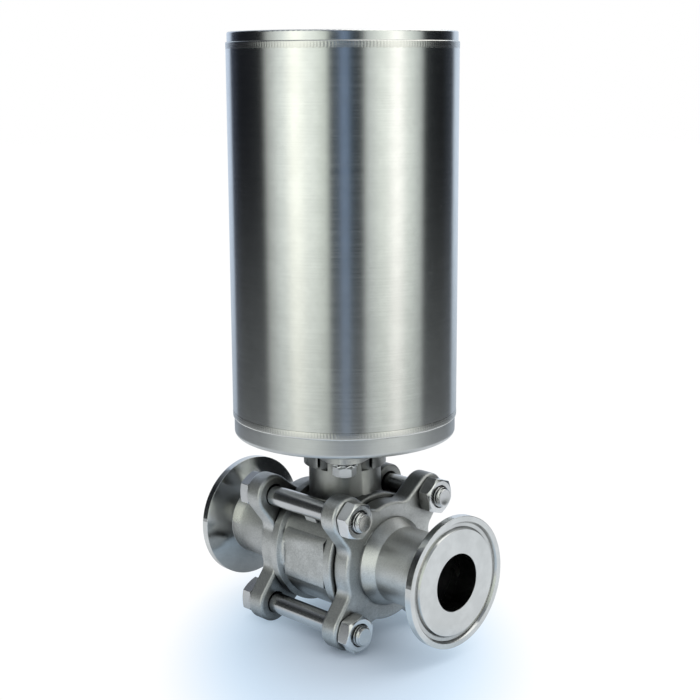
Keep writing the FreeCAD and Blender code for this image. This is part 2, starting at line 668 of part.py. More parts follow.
def side_panels(body):
    """Flat panel on both sides of the barrel, with sloping shoulders above and below it."""
    block = new_sketch(body, "YZ_Plane", "panel_block_outline", "-panel_half_long")
    corner = ("panel_offset", "panel_half_high")
    foot = ("(panel_offset - panel_slope_in)", "(panel_half_high + panel_slope_up)")
    draw_polygon(block, [
        ("-" + corner[0], "-" + corner[1]),
        ("-" + foot[0], "-" + foot[1]),
        (foot[0], "-" + foot[1]),
        (corner[0], "-" + corner[1]),
        corner,
        foot,
        ("-" + foot[0], foot[1]),
        ("-" + corner[0], corner[1])])
    extruded(body, "panel_block", block, "2 * panel_half_long")
    for side, start in (("front", "panel_offset"), ("back", "-panel_offset")):
        face = new_sketch(body, "XZ_Plane", side + "_panel_outline", start)
        draw_box(face, "panel_half_long", "panel_half_high")
        extruded(body, side + "_panel", face, "body_radius", cut=True, reverse=(side == "back"))


def draw_box(sketch, half_across, half_up):
    """Rectangle centred on the sketch's origin."""
    draw_polygon(sketch, [
        (f"-({half_across})", f"-({half_up})"),
        (half_across, f"-({half_up})"),
        (half_across, half_up),
        (f"-({half_across})", half_up)])


def is_neck_root(edge):
    """Whether an edge is the line where the neck grows out of the round body."""
    radius = number("stem_neck_radius")
    points = edge.discretize(7)
    return all(abs(math.hypot(point.x, point.y) - radius) < EDGE
               and point.z < number("body_radius") + EDGE for point in points)


# Ball, seats, seals and the stem's packing

def ball():
    """Ball with its flow bore across the pipe, as it stands when the valve is closed."""
    body = new_body("ball")
    sphere = body.newObject("PartDesign::AdditiveSphere", "sphere")
    sphere.setExpression("Radius", formula("ball_radius"))
    doc.recompute()
    turned(body, "flow_bore", [
        ("0", "-ball_radius - 1"),
        ("bore_radius", "-ball_radius - 1"),
        ("bore_radius", "ball_radius + 1"),
        ("0", "ball_radius + 1")], plane="XY_Plane", cut=True)
    slot = new_sketch(body, "XY_Plane", "driving_slot_outline", "ball_slot_floor")
    draw_box(slot, "ball_radius + 1", "ball_slot_wide / 2")
    extruded(body, "driving_slot", slot, "ball_radius", cut=True)
    rounded(body, "bore_edges", "ball_bore_round",
            lambda edge: is_circle(edge, number("bore_radius")))
    return body


def seat(label, turn):
    """Seat ring between ball and end cap, hollowed to the ball."""
    body = new_body(label, turn)
    turned(body, "ring", [
        ("seat_front", "seat_bore"),
        ("seat_back", "seat_bore"),
        ("seat_back", "seat_radius"),
        ("seat_front", "seat_radius")], axis="H_Axis")
    hollow = body.newObject("PartDesign::SubtractiveSphere", "ball_face")
    hollow.setExpression("Radius", formula("ball_radius + seat_gap"))
    doc.recompute()
    return body


def ring(label, low, high, inner, outer, turn=0.0, axis="V_Axis"):
    """Plain ring between two places along its axis; the axis is the stem's or the pipe's."""
    body = new_body(label, turn)
    corners = [(inner, low), (outer, low), (outer, high), (inner, high)]
    if axis == "H_Axis":
        corners = [(up, across) for across, up in corners]
    turned(body, "ring", corners, axis=axis)
    return body


def o_ring(label, height, middle_radius, section):
    """Round-section ring about the stem axis."""
    torus = doc.addObject("Part::Torus", label)
    torus.Label = label
    torus.setExpression("Radius1", formula(middle_radius))
    torus.setExpression("Radius2", formula(section))
    torus.setExpression("Placement.Base.z", formula(f"axis_high + ({height})"))
    return torus


def stem():
    """Stem with its blow-out collar, the tongue below it and the driving square above."""
    body = new_body("stem")
    turned(body, "shaft", [
        ("0", "stem_collar_low"),
        ("stem_collar_radius", "stem_collar_low"),
        ("stem_collar_radius", "stem_collar_high"),
        ("stem_radius", "stem_collar_high"),
        ("stem_radius", "stem_high"),
        ("0", "stem_high")])
    tongue = new_sketch(body, "XY_Plane", "tongue_outline", "tongue_low")
    draw_box(tongue, "tongue_long / 2", "tongue_wide / 2")
    extruded(body, "tongue", tongue, "stem_collar_low + 1 - tongue_low")
    flats = new_sketch(body, "XY_Plane", "square_outline", "stem_square_low")
    draw_circle(flats, "0", "0", "stem_collar_radius")
    draw_box(flats, "stem_square / 2", "stem_square / 2")
    extruded(body, "square", flats, "stem_high + 1 - stem_square_low", cut=True)
    return body


def stem_packing():
    """Stack of chevron rings round the stem."""
    body = new_body("packing_ring_template")
    turned(body, "chevron", [
        ("stem_hole", "packing_low"),
        ("packing_middle", "packing_low + packing_ring_vee"),
        ("packing_outer", "packing_low"),
        ("packing_outer", "packing_low + packing_ring_high"),
        ("packing_middle", "packing_low + packing_ring_high + packing_ring_vee"),
        ("stem_hole", "packing_low + packing_ring_high")])
    pitch = number("packing_ring_high")
    return placed_copies("stem_packing", body, [lifted(step * pitch) for step in range(3)])


def gland_ring():
    """Ring that presses on the packing, hollowed to the chevrons' crest."""
    body = new_body("gland_ring")
    turned(body, "ring", [
        ("stem_hole", "gland_low"),
        ("packing_middle", "gland_low + packing_ring_vee"),
        ("packing_outer", "gland_low"),
        ("packing_outer", "gland_top"),
        ("stem_hole", "gland_top")])
    return body


def disc_springs():
    """Two conical springs, set with their inner edges together, that load the packing."""
    body = new_body("disc_spring_template")
    turned(body, "cone", [
        ("loose_outer", "disc_low"),
        ("loose_outer", "disc_low + disc_spring_thick"),
        ("loose_inner", "disc_middle"),
        ("loose_inner", "disc_middle - disc_spring_thick")])
    middle = FreeCAD.Vector(0, 0, 2 * number("disc_middle"))
    flip = FreeCAD.Placement(middle, FreeCAD.Rotation(ALONG, 180))
    return placed_copies("disc_springs", body, [lifted(0), flip])


def lifted(height):
    """Placement that only raises."""
    return FreeCAD.Placement(FreeCAD.Vector(0, 0, height), FreeCAD.Rotation())


def square_reducer():
    """Sleeve that takes the stem's square up to the actuator's larger one."""
    body = new_body("square_reducer")
    outline = new_sketch(body, "XY_Plane", "sleeve_outline", "reducer_low")
    draw_box(outline, "drive_square / 2", "drive_square / 2")
    draw_box(outline, "stem_square / 2 + square_play", "stem_square / 2 + square_play")
    extruded(body, "sleeve", outline, "reducer_high - reducer_low")
    return body


# Hexagon fasteners

def hexagon(body, label, low, high, across, bore=None, bevel_low=True):
    """Six-sided prism along Z with its corners turned off at 30 degrees."""
    corner = f"({across}) / 2 / cos(30 deg)"
    outline = new_sketch(body, "XY_Plane", label + "_outline", low)
    draw_polygon(outline, [
        (f"{corner} * cos({60 * step} deg)", f"{corner} * sin({60 * step} deg)")
        for step in range(6)])
    if bore:
        draw_circle(outline, "0", "0", bore)
    extruded(body, label, outline, f"({high}) - ({low})")
    start = f"({across}) * 0.475"
    end = f"{corner} + 1"
    drop = f"({end} - {start}) * tan(30 deg)"
    turned(body, label + "_top_bevel", [
        (start, high), (end, high), (end, f"({high}) - {drop}")], cut=True)
    if bevel_low:
        turned(body, label + "_low_bevel", [
            (start, low), (end, low), (end, f"({low}) + {drop}")], cut=True)


def hex_bolt_template(label, radius, across, head_high, shank):
    """Hexagon bolt along +Z, its head below z = 0."""
    body = new_body(label)
    hexagon(body, "head", "-" + head_high, "0", across)
    turned(body, "shank", [
        ("0", f"-{head_high} / 2"),
        (radius, f"-{head_high} / 2"),
        (radius, f"({shank}) - {radius} / 4"),
        (f"{radius} * 0.8", shank),
        ("0", shank)])
    return body


def body_fasteners():
    """Four through bolts with their heads on the left cap and their nuts on the right one."""
    bolt = hex_bolt_template("through_bolt_template", "bolt_radius", "bolt_across",
                             "bolt_head_high", "bolt_shank")
    nut = new_body("nut_template")
    hexagon(nut, "nut", "0", "nut_high", "bolt_across", bore="bolt_radius + thread_play")
    reach = number("flange_out")
    offset = number("bolt_offset")
    to_pipe = FreeCAD.Rotation(FreeCAD.Vector(0, 1, 0), 90)
    placed_copies("body_bolts", bolt, [
        FreeCAD.Placement(FreeCAD.Vector(-reach, side * offset, level * offset), to_pipe)
        for side, level in NUT_TURNS])
    placed_copies("body_nuts", nut, [
        FreeCAD.Placement(FreeCAD.Vector(reach, side * offset, level * offset),
                          FreeCAD.Rotation(ALONG, turn) * to_pipe)
        for (side, level), turn in NUT_TURNS.items()])


def pad_fasteners():
    """Two mounting bolts with their washers that hold the actuator on the pad's lugs."""
    bolt = hex_bolt_template("pad_bolt_template", "pad_bolt_radius", "pad_bolt_across",
                             "pad_bolt_head_high", "pad_bolt_shank")
    washer = new_body("tooth_washer_template")
    turned(washer, "ring", [
        ("pad_bolt_radius + pad_bolt_play / 2", "0"),
        ("tooth_washer_radius", "0"),
        ("tooth_washer_radius", "tooth_washer_thick"),
        ("pad_bolt_radius + pad_bolt_play / 2", "tooth_washer_thick")])
    gap = new_sketch(washer, "XY_Plane", "tooth_gap_outline", "0")
    draw_polygon(gap, [
        ("tooth_washer_radius * 0.72", "-0.45"),
        ("tooth_washer_radius + 1", "-0.7"),
        ("tooth_washer_radius + 1", "0.7"),
        ("tooth_washer_radius * 0.72", "0.45")])
    cut = extruded(washer, "tooth_gap", gap, "tooth_washer_thick", cut=True)
    teeth = washer.newObject("PartDesign::PolarPattern", "teeth")
    teeth.Originals = [cut]
    teeth.Axis = (gap, ["N_Axis"])
    teeth.Angle = 360
    teeth.Occurrences = 8
    washer.Tip = teeth
    doc.recompute()
    plain = new_body("plain_washer_template")
    turned(plain, "ring", [
        ("pad_bolt_radius + pad_bolt_play / 2", "0"),
        ("tooth_washer_radius", "0"),
        ("tooth_washer_radius", "plain_washer_thick"),
        ("pad_bolt_radius + pad_bolt_play / 2", "plain_washer_thick")])
    spots = [turned_point(number("pad_bolt_circle"), angle) for angle in (-45, 135)]
    for label, template, low in (
            ("mounting_bolts", bolt, "bolt_head_top"),
            ("lock_washers", washer, "bolt_head_top"),
            ("plain_washers", plain, "plain_washer_low")):
        placed_copies(label, template, [
            FreeCAD.Placement(spot + UP * number(low), FreeCAD.Rotation()) for spot in spots])


def turned_point(radius, angle):
    """Point at a radius and an angle in degrees about the stem axis."""
    return FreeCAD.Vector(radius * math.cos(math.radians(angle)),
                          radius * math.sin(math.radians(angle)), 0)


# Actuator housing

def radial_hole(body, label, plane, along, low, high, centre, radius):
    """Round hole along the plane's normal between two places, centred at (along, centre)."""
    circle = new_sketch(body, plane, label + "_circle", low)
    draw_circle(circle, along, centre, radius)
    extruded(body, label, circle, f"({high}) - ({low})", cut=True)


def actuator_tube():
    """Drawn tube, bevelled for its two welds, with openings at the air ports on the back."""
    body = new_body("actuator_tube")
    turned(body, "wall", [
        ("tube_bore", "tube_low"),
        ("tube_radius - weld_prep", "tube_low"),
        ("tube_radius", "tube_low + weld_prep"),
        ("tube_radius", "tube_high - weld_prep"),
        ("tube_radius - weld_prep", "tube_high"),
        ("tube_bore", "tube_high")])
    for label, height in (("low_port", "low_port_high"), ("high_port", "high_port_high")):
        radial_hole(body, label, "XZ_Plane", "0", "-tube_radius - 1", "-tube_bore / 2",
                    height, "port_mouth_radius")
    return body


def bottom_cover():
    """Lower cover: flange with the mounting circles, shaft bore and lower air port."""
    body = new_body("bottom_cover")
    turned(body, "disc", [
        ("0", "pad_high"),
        ("cap_radius", "pad_high"),
        ("cap_radius", "tube_low"),
        ("spigot_radius", "tube_low"),
        ("spigot_radius", "cover_floor"),
        ("0", "cover_floor")])
    low_edge = FreeCAD.Vector(0, 0, number("pad_high"))
    rounded(body, "low_edge", "cap_round",
            lambda edge: is_circle(edge, number("cap_radius"), low_edge))
    turned(body, "shaft_bore", [
        ("0", "pad_high - 1"),
        ("journal_bore", "pad_high - 1"),
        ("journal_bore", "bush_low"),
        ("bush_outer", "bush_low"),
        ("bush_outer", "bush_high"),
        ("journal_bore", "bush_high"),
        ("journal_bore", "seal_low"),
        ("seal_outer", "seal_low"),
        ("seal_outer", "seal_high"),
        ("journal_bore", "seal_high"),
        ("journal_bore", "thrust_low"),
        ("thrust_pocket_radius", "thrust_low"),
        ("thrust_pocket_radius", "ring_low"),
        ("ring_groove_radius", "ring_low"),
        ("ring_groove_radius", "ring_high"),
        ("thrust_pocket_radius", "ring_high"),
        ("thrust_pocket_radius", "cover_floor + 1"),
        ("0", "cover_floor + 1")], cut=True)
    for label, circle_radius, tap in (
            ("small_taps", "small_circle", "small_tap"),
            ("middle_taps", "middle_circle", "small_tap"),
            ("large_taps", "large_circle", "large_tap")):
        circles = new_sketch(body, "XY_Plane", label + "_circles", "pad_high - 1", turn=45)
        for step in range(4):
            across, up = quarter_turns(circle_radius, "0", step)
            draw_circle(circles, across, up, tap)
        extruded(body, label, circles, "tap_depth + 1", cut=True)
    radial_hole(body, "air_port", "XZ_Plane", "0", "-spigot_radius - 1", "-port_floor",
                "low_port_high", "port_radius")
    duct(body, "low_port_high", "cover_floor + 1")
    return body


def duct(body, low, high):
    """Narrow passage along Z from an air port to the chamber."""
    passage = new_sketch(body, "XY_Plane", "duct_circle", low)
    draw_circle(passage, "0", "port_floor + 2 * duct_radius", "duct_radius")
    extruded(body, "duct", passage, f"({high}) - ({low})", cut=True)


def top_cover():
    """Upper cover with its spring face, tower recess, post seat and vent port."""
    body = new_body("top_cover")
    turned(body, "disc", [
        ("0", "top_recess_high"),
        ("top_recess_radius", "top_recess_high"),
        ("top_recess_radius", "top_spigot_low"),
        ("spigot_radius", "top_spigot_low"),
        ("spigot_radius", "tube_high"),
        ("cap_radius", "tube_high"),
        ("cap_radius", "actuator_high"),
        ("0", "actuator_high")])
    high_edge = FreeCAD.Vector(0, 0, number("actuator_high"))
    rounded(body, "high_edge", "top_round",
            lambda edge: is_circle(edge, number("cap_radius"), high_edge))
    seat_outline = new_sketch(body, "XY_Plane", "post_seat_outline", "top_recess_high - 1")
    draw_hexagon(seat_outline, "post_across / 2 + thread_play")
    extruded(body, "post_seat", seat_outline, "post_seat_deep + 1", cut=True)
    radial_hole(body, "vent_port", "XZ_Plane", "0", "-spigot_radius - 1", "-port_floor",
                "high_port_high", "port_radius")
    duct(body, "top_spigot_low - 1", "high_port_high")
    return body


def breather_plug():
    """Slotted plug of sintered metal that lets the spring chamber breathe through its port."""
    body = new_body("breather_plug")
    turned(body, "plug", [
        ("0", "port_floor + plug_gap"),
        ("port_radius - thread_play", "port_floor + plug_gap"),
        ("port_radius - thread_play", "spigot_radius + thread_play"),
        ("plug_head_radius", "spigot_radius + thread_play"),
        ("plug_head_radius", "tube_radius - plug_sunk"),
        ("0", "tube_radius - plug_sunk")], plane="XY_Plane", offset="high_port_high")
    slot = new_sketch(body, "XY_Plane", "plug_slot_outline", "high_port_high - port_radius - 2")
    draw_polygon(slot, [
        ("-plug_slot_wide / 2", "tube_radius - plug_sunk - plug_slot_deep"),
        ("plug_slot_wide / 2", "tube_radius - plug_sunk - plug_slot_deep"),
        ("plug_slot_wide / 2", "tube_radius"),
        ("-plug_slot_wide / 2", "tube_radius")])
    extruded(body, "plug_slot", slot, "2 * port_radius + 4", cut=True)
    return body


def draw_hexagon(sketch, half_across):
    """Regular hexagon about the sketch's origin with a corner on its first axis."""
    corner = f"({half_across}) / cos(30 deg)"
    draw_polygon(sketch, [
        (f"{corner} * cos({60 * step} deg)", f"{corner} * sin({60 * step} deg)")
        for step in range(6)])


def weld_beads():
    """Two rings of weld that fill the bevels between the tube and its covers."""
    rings = []
    for label, end, sign in (("low", "tube_low", "-"), ("high", "tube_high", "")):
        body = new_body(label + "_weld_template")
        turned(body, "bead", [
            ("tube_radius - weld_prep", end),
            ("tube_radius", f"{end} - {sign}weld_prep"),
            ("tube_radius + weld_bulge", end),
            ("cap_radius", f"{end} + {sign}weld_rise"),
            ("cap_radius", end)])
        rings.append(body)
    doc.recompute()
    group = doc.addObject("Part::Feature", "weld_beads")
    group.Label = "weld_beads"
    group.Shape = Part.makeCompound([body.Tip.Shape.copy() for body in rings])
    group.setExpression("Placement.Base.z", formula("axis_high"))


# Cam shaft: journal, driving square and the sleeve with its two helical slots

def cam_shaft():
    """Shaft that the rollers turn by a quarter as they climb its slots."""
    body = new_body("cam_shaft_blank")
    turned(body, "shaft", [
        ("0", "journal_low"),
        ("journal_radius", "journal_low"),
        ("journal_radius", "shaft_flange_low"),
        ("shaft_flange_radius", "shaft_flange_low"),
        ("shaft_flange_radius", "shaft_flange_top"),
        ("cam_radius", "shaft_flange_top"),
        ("cam_radius", "cam_high"),
        ("cam_bore", "cam_high"),
        ("cam_bore", "cam_floor"),
        ("0", "cam_floor")])
    square = new_sketch(body, "XY_Plane", "driving_square_outline", "journal_low - 1")
    draw_box(square, "drive_square / 2 + square_play", "drive_square / 2 + square_play")
    extruded(body, "driving_square", square, "drive_square_deep + 1", cut=True)
    slots = [helical_slot(angle) for angle in (0, 180)]
    shaft = doc.addObject("Part::Feature", "cam_shaft")
    shaft.Label = "cam_shaft"
    shaft.Shape = body.Tip.Shape.cut(slots)
    shaft.setExpression("Placement.Base.z", formula("axis_high"))


def helical_slot(angle):
    """Cutter for one slot: a bar that climbs a left-hand helix between two drilled holes.

    The bar follows the roller's path as the shaft sees it, a quarter turn over the stroke, and
    is as wide as the roller and its play at right angles to that path.
    """
    stroke = number("stroke")
    path_radius = number("slot_radius")
    half = number("slot_half")
    inner = number("cam_bore") - OVERCUT
    outer = number("cam_radius") + OVERCUT
    start = FreeCAD.Vector(path_radius, 0, 0)
    helix = Part.makeHelix(4 * stroke, stroke, path_radius)
    helix = helix.mirror(FreeCAD.Vector(), FreeCAD.Vector(0, 1, 0))
    around = path_radius * math.pi / 2
    length = math.hypot(around, stroke)
    across = FreeCAD.Vector(0, stroke / length, around / length)
    corners = []
    for radius, side in ((inner, -half), (outer, -half), (outer, half), (inner, half)):
        corners.append(start + FreeCAD.Vector(radius - path_radius, 0, 0) + across * side)
    section = Part.makePolygon(corners + corners[:1])
    bar = Part.Wire(helix.Edges).makePipeShell([section], True, True)
    end_radius = half + number("slot_end_room")
    low_end = Part.makeCylinder(end_radius, outer - inner, FreeCAD.Vector(inner, 0, 0), ALONG)
    high_end = low_end.copy()
    high_end.rotate(FreeCAD.Vector(), UP, -90)
    high_end.translate(UP * stroke)
    cutter = bar.fuse([low_end, high_end])
    cutter.rotate(FreeCAD.Vector(), UP, angle)
    cutter.translate(UP * number("pin_high"))
    return cutter


# Piston, its guide, rollers and springs

def piston():
    """Piston plate with the tower over the cam sleeve and the guide socket inside it."""
    body = new_body("piston")
    turned(body, "plate_and_tower", [
        ("0", "socket_low"),
        ("socket_radius", "socket_low"),
        ("socket_radius", "tower_ceiling"),
        ("tower_bore", "tower_ceiling"),
        ("tower_bore", "piston_low"),
        ("piston_hollow_low_radius", "piston_low"),
        ("piston_hollow_low_radius", "piston_low + piston_hollow_deep"),
        ("piston_hollow_high_radius", "piston_low + piston_hollow_deep"),
        ("piston_hollow_high_radius", "piston_low"),
        ("piston_radius", "piston_low"),
        ("piston_radius", "piston_high"),
        ("tower_radius", "piston_high"),
        ("tower_radius", "tower_high"),
        ("0", "tower_high")])
    turned(body, "seal_groove", groove_corners("piston_seal_groove", "piston_radius",
                                               "piston_seal_high - piston_seal_section - 0.2",
                                               "piston_seal_high + piston_seal_section + 0.2"),
           cut=True)
    turned(body, "band_groove", groove_corners("guide_band_groove", "piston_radius",
                                               "guide_band_low - 0.1",
                                               "guide_band_low + guide_band_high + 0.1"), cut=True)
    socket = new_sketch(body, "XY_Plane", "socket_outline", "socket_floor")
    draw_hexagon(socket, "post_across / 2 + post_play")
    extruded(body, "socket", socket, "tower_high + 1 - socket_floor", cut=True)
    holes = new_sketch(body, "YZ_Plane", "pin_holes_circle", "-tower_radius - 1")
    draw_circle(holes, "0", "pin_high", "pin_radius + 0.02")
    extruded(body, "left_pin_hole", holes, "tower_radius + 1 - cam_radius", cut=True)
    holes = new_sketch(body, "YZ_Plane", "right_pin_hole_circle", "cam_radius")
    draw_circle(holes, "0", "pin_high", "pin_radius + 0.02")
    extruded(body, "right_pin_hole", holes, "tower_radius + 1 - cam_radius", cut=True)
    return body


def groove_corners(inner, outer, low, high):
    """Outline of a groove that is open outwards."""
    return [(inner, low), (f"{outer} + 1", low), (f"{outer} + 1", high), (inner, high)]


def roller_parts():
    """Roller pins, rollers and clips, one set on each side of the tower."""
    pins = new_body("pin_template")
    turned(pins, "pin", [
        ("pin_inner", "0"),
        ("pin_inner", "pin_radius"),
        ("tower_radius", "pin_radius"),
        ("tower_radius", "0")], axis="H_Axis")
    clip = new_body("clip_template")
    turned(clip, "clip", [
        ("roller_inner - 0.1 - clip_thick", "pin_radius + 0.02"),
        ("roller_inner - 0.1", "pin_radius + 0.02"),
        ("roller_inner - 0.1", "clip_radius"),
        ("roller_inner - 0.1 - clip_thick", "clip_radius")], axis="H_Axis")
    height = UP * number("pin_high")
    spots = [FreeCAD.Placement(height, FreeCAD.Rotation(UP, angle)) for angle in (0, 180)]
    placed_copies("roller_pins", pins, spots)
    placed_copies("roller_clips", clip, spots)
    for label, turn in (("cam_roller_right", 0), ("cam_roller_left", 180)):
        body = doc.addObject("PartDesign::Body", label)
        body.Label = label
        body.Placement.Rotation = FreeCAD.Rotation(UP, turn)
        body.setExpression("Placement.Base.z", formula("axis_high + pin_high"))
        turned(body, "roller", [
            ("roller_inner", "pin_radius + stem_fit"),
            ("roller_outer", "pin_radius + stem_fit"),
            ("roller_outer", "roller_radius"),
            ("roller_inner", "roller_radius")], axis="H_Axis")
        rounded(body, "roller_edges", "roller_round",
                lambda edge: is_circle(edge, number("roller_radius")))


def guide_post():
    """Hexagonal post that hangs from the upper cover and keeps the piston from turning."""
    body = new_body("guide_post")
    outline = new_sketch(body, "XY_Plane", "post_outline", "post_low")
    draw_hexagon(outline, "post_across / 2")
    extruded(body, "post", outline, "top_recess_high + post_seat_deep - post_low")
    return body


def return_spring(label, wire, coil, turns, left_hand):
    """Coil spring between the piston and its plate, with both ends ground flat."""
    low = number("spring_low")
    high = number("spring_high")
    wire_radius = number(wire)
    coil_radius = number(coil)
    helix = Part.makeHelix((high - low) / number(turns), high - low, coil_radius)
    section = Part.Wire(Part.makeCircle(
        wire_radius, FreeCAD.Vector(coil_radius, 0, 0), FreeCAD.Vector(0, 1, 0)))
    coil_solid = Part.Wire(helix.Edges).makePipeShell([section], True, True)
    coil_solid.translate(UP * low)
    if left_hand:
        coil_solid = coil_solid.mirror(FreeCAD.Vector(), FreeCAD.Vector(0, 1, 0))
    space = Part.makeCylinder(coil_radius + 2 * wire_radius, high - low, UP * low)
    spring = doc.addObject("Part::Feature", label)
    spring.Label = label
    spring.Shape = coil_solid.common(space)
    spring.setExpression("Placement.Base.z", formula("axis_high"))


def main():
    """Makes every piece, checks it and writes its file."""
    for side, turn in (("right", 0), ("left", 180)):
        end_cap(f"end_cap_{side}", turn)
        seat(f"seat_{side}", turn)
        ring(f"body_seal_{side}", "seal_floor", "body_half",
             "body_seal_radius - body_seal_wide / 2", "body_seal_radius + body_seal_wide / 2",
             turn, "H_Axis")
    valve_body()
    ball()
    stem()
    ring("stem_thrust_washer", "stem_collar_high + stem_fit", "collar_pocket_high",
         "stem_radius + 2 * stem_fit", "collar_pocket_radius - 2 * stem_fit")
    stem_packing()
    gland_ring()
    disc_springs()
    nut = new_body("stem_nut")
    hexagon(nut, "nut", "disc_top", "disc_top + stem_nut_high", "stem_nut_across",
            bore="stem_radius + thread_play")
    square_reducer()
    body_fasteners()
    pad_fasteners()
    actuator_tube()
    bottom_cover()
    top_cover()
    breather_plug()
    weld_beads()
    ring("shaft_bush", "bush_low", "bush_high", "bush_inner", "bush_outer")
    o_ring("shaft_seal", "(seal_low + seal_high) / 2",
           "journal_radius + shaft_seal_section + thread_play", "shaft_seal_section")
    ring("thrust_washer", "thrust_low", "thrust_high", "journal_bore", "thrust_pocket_radius - 0.2")
    ring("retaining_ring", "ring_low", "ring_high", "cam_radius + 4 * ring_bite / 3",
         "ring_groove_radius")
    cam_shaft()
    piston()
    o_ring("piston_seal", "piston_seal_high", "tube_bore - piston_seal_section - thread_play",
           "piston_seal_section")
    ring("piston_guide_band", "guide_band_low", "guide_band_low + guide_band_high",
         "tube_bore - guide_band_thick", "tube_bore - thread_play")
    roller_parts()
    guide_post()
    ring("spring_plate", "spring_high", "top_spigot_low", "top_recess_radius",
         "spigot_radius - 0.2")
    return_spring("outer_spring", "outer_wire", "outer_coil", "outer_turns", False)
    return_spring("inner_spring", "inner_wire", "inner_coil", "inner_turns", True)
    doc.recompute()
    check_and_export()


def is_piece(item):
    """Whether an object of the document is a piece of the valve, not a template or a blank."""
    kinds = ("PartDesign::Body", "Part::Feature", "Part::Torus")
    return item.TypeId in kinds and not item.Label.endswith(("_template", "_blank"))


def check_and_export():
    """Writes one STEP file for each piece once every object has come out whole."""
    for item in doc.Objects:
        if any(state in item.State for state in ("Invalid", "Error")):
            raise RuntimeError(f"{item.Label} failed: {item.State}")
    pieces = [item for item in doc.Objects if is_piece(item)]
    for item in pieces:
        if item.Shape.isNull() or not item.Shape.isValid() or not item.Shape.Solids:
            raise RuntimeError(f"{item.Label} has no sound solid")
    os.makedirs("parts", exist_ok=True)
    for item in pieces:
        item.Shape.exportStep(f"parts/{item.Label}.step")


main()
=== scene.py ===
"""Dresses the pneumatic ball valve: castings, actuator, fasteners, inner pieces and the studio.

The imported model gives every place. The fasteners and welds are drawn here, in millimetres, with its
sizes, and so is the body's eye, which it lacks. The operators make one piece or group each; main()
calls them in order.
"""

import json
import math

import bmesh
import bpy
import numpy as np
from mathutils import Matrix, Vector

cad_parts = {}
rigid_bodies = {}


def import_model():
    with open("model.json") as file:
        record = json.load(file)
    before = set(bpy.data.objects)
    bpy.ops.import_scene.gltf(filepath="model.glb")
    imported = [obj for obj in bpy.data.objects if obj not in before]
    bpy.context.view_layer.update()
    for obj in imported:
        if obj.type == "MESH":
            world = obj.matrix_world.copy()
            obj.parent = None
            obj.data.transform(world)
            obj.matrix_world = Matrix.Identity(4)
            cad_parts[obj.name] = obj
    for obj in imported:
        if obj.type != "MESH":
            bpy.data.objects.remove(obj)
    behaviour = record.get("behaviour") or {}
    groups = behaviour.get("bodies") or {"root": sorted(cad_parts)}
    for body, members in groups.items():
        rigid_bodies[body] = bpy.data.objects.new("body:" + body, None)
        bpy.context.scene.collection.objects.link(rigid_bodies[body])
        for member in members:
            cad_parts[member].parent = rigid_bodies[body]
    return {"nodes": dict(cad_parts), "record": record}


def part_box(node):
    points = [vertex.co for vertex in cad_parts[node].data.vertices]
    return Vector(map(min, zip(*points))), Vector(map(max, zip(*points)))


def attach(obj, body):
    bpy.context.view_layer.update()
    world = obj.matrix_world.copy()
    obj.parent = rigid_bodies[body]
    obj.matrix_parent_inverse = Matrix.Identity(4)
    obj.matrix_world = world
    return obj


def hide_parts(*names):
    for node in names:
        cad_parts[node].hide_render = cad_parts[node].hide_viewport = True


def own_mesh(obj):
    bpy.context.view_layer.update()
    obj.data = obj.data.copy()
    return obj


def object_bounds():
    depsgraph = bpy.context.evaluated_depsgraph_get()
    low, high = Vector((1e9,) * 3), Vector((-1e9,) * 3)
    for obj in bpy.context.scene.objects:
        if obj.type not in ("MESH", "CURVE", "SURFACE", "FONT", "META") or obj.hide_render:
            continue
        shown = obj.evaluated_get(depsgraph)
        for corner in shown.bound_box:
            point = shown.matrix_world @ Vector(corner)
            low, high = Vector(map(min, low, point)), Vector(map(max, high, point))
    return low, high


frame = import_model()

bl_info = {
    "name": "Pneumatic ball valve",
    "version": (1, 0, 0),
    "blender": (4, 5, 0),
    "location": "3D View > Sidebar > Ball valve",
    "description": "Builds the looks of a pneumatic ball valve round its packed model",
    "category": "Object",
}

MM = 0.001
# Through bolts and nuts. These sizes and the next ones, down to the welds, are in millimetres.
FLANGE_OUT = 25.0
BOLT_OFFSET = 22.3
BOLT_RADIUS = 4.0
BOLT_ACROSS = 13.0
BOLT_HEAD = 5.3
BOLT_PAST_FLANGE = 8.1
NUT_HIGH = 5.7
NUT_PLAY = 0.05
NUT_SINK = 0.5
THREAD_INSIDE = 2.0
THREAD_RUNOUT = 0.4
TIP_RADIUS = 3.2
TIP_LONG = 1.0
# Depth of a thread as a share of its pitch, and points along one pitch.
THREAD_DEPTH = 0.613
THREAD_STEPS = 12
# Flat face of a hexagon as a share of its width, and the cone that turns off its corners.
HEX_FACE = 0.475
HEX_CONE = math.radians(30)
# Dish in a bolt head's face: radius of its floor, radius of its rim, depth.
BOLT_DISH = (3.6, 4.1, 0.15)
PAD_HEAD_DISH = (1.6, 2.0, 0.2)
# Mounting bolts under the pad; the top of their heads is over the ball's centre.
PAD_BOLT_RADIUS = 2.45
PAD_BOLT_ACROSS = 8.0
PAD_HEAD = 3.8
PAD_BOLT_LONG = 16.6
PAD_BOLT_TIP = 0.5
PAD_CIRCLE = 18.0
PAD_HEAD_TOP = 38.4
# Lock washer: height over the twist, radii, half its sheet and half its rim, the rim's rounding,
# and half a tooth and its flank as shares of the pitch.
TOOTH_WASHER = 1.4
WASHER_RADIUS = 5.0
WASHER_RING = 3.9
WASHER_PLAY = 0.15
WASHER_HALF = 0.3
WASHER_RIM = 0.18
WASHER_ROUND = 0.15
TOOTH_HALF = 0.31
TOOTH_FLANK = 0.05
TOOTH_TWIST = 0.4
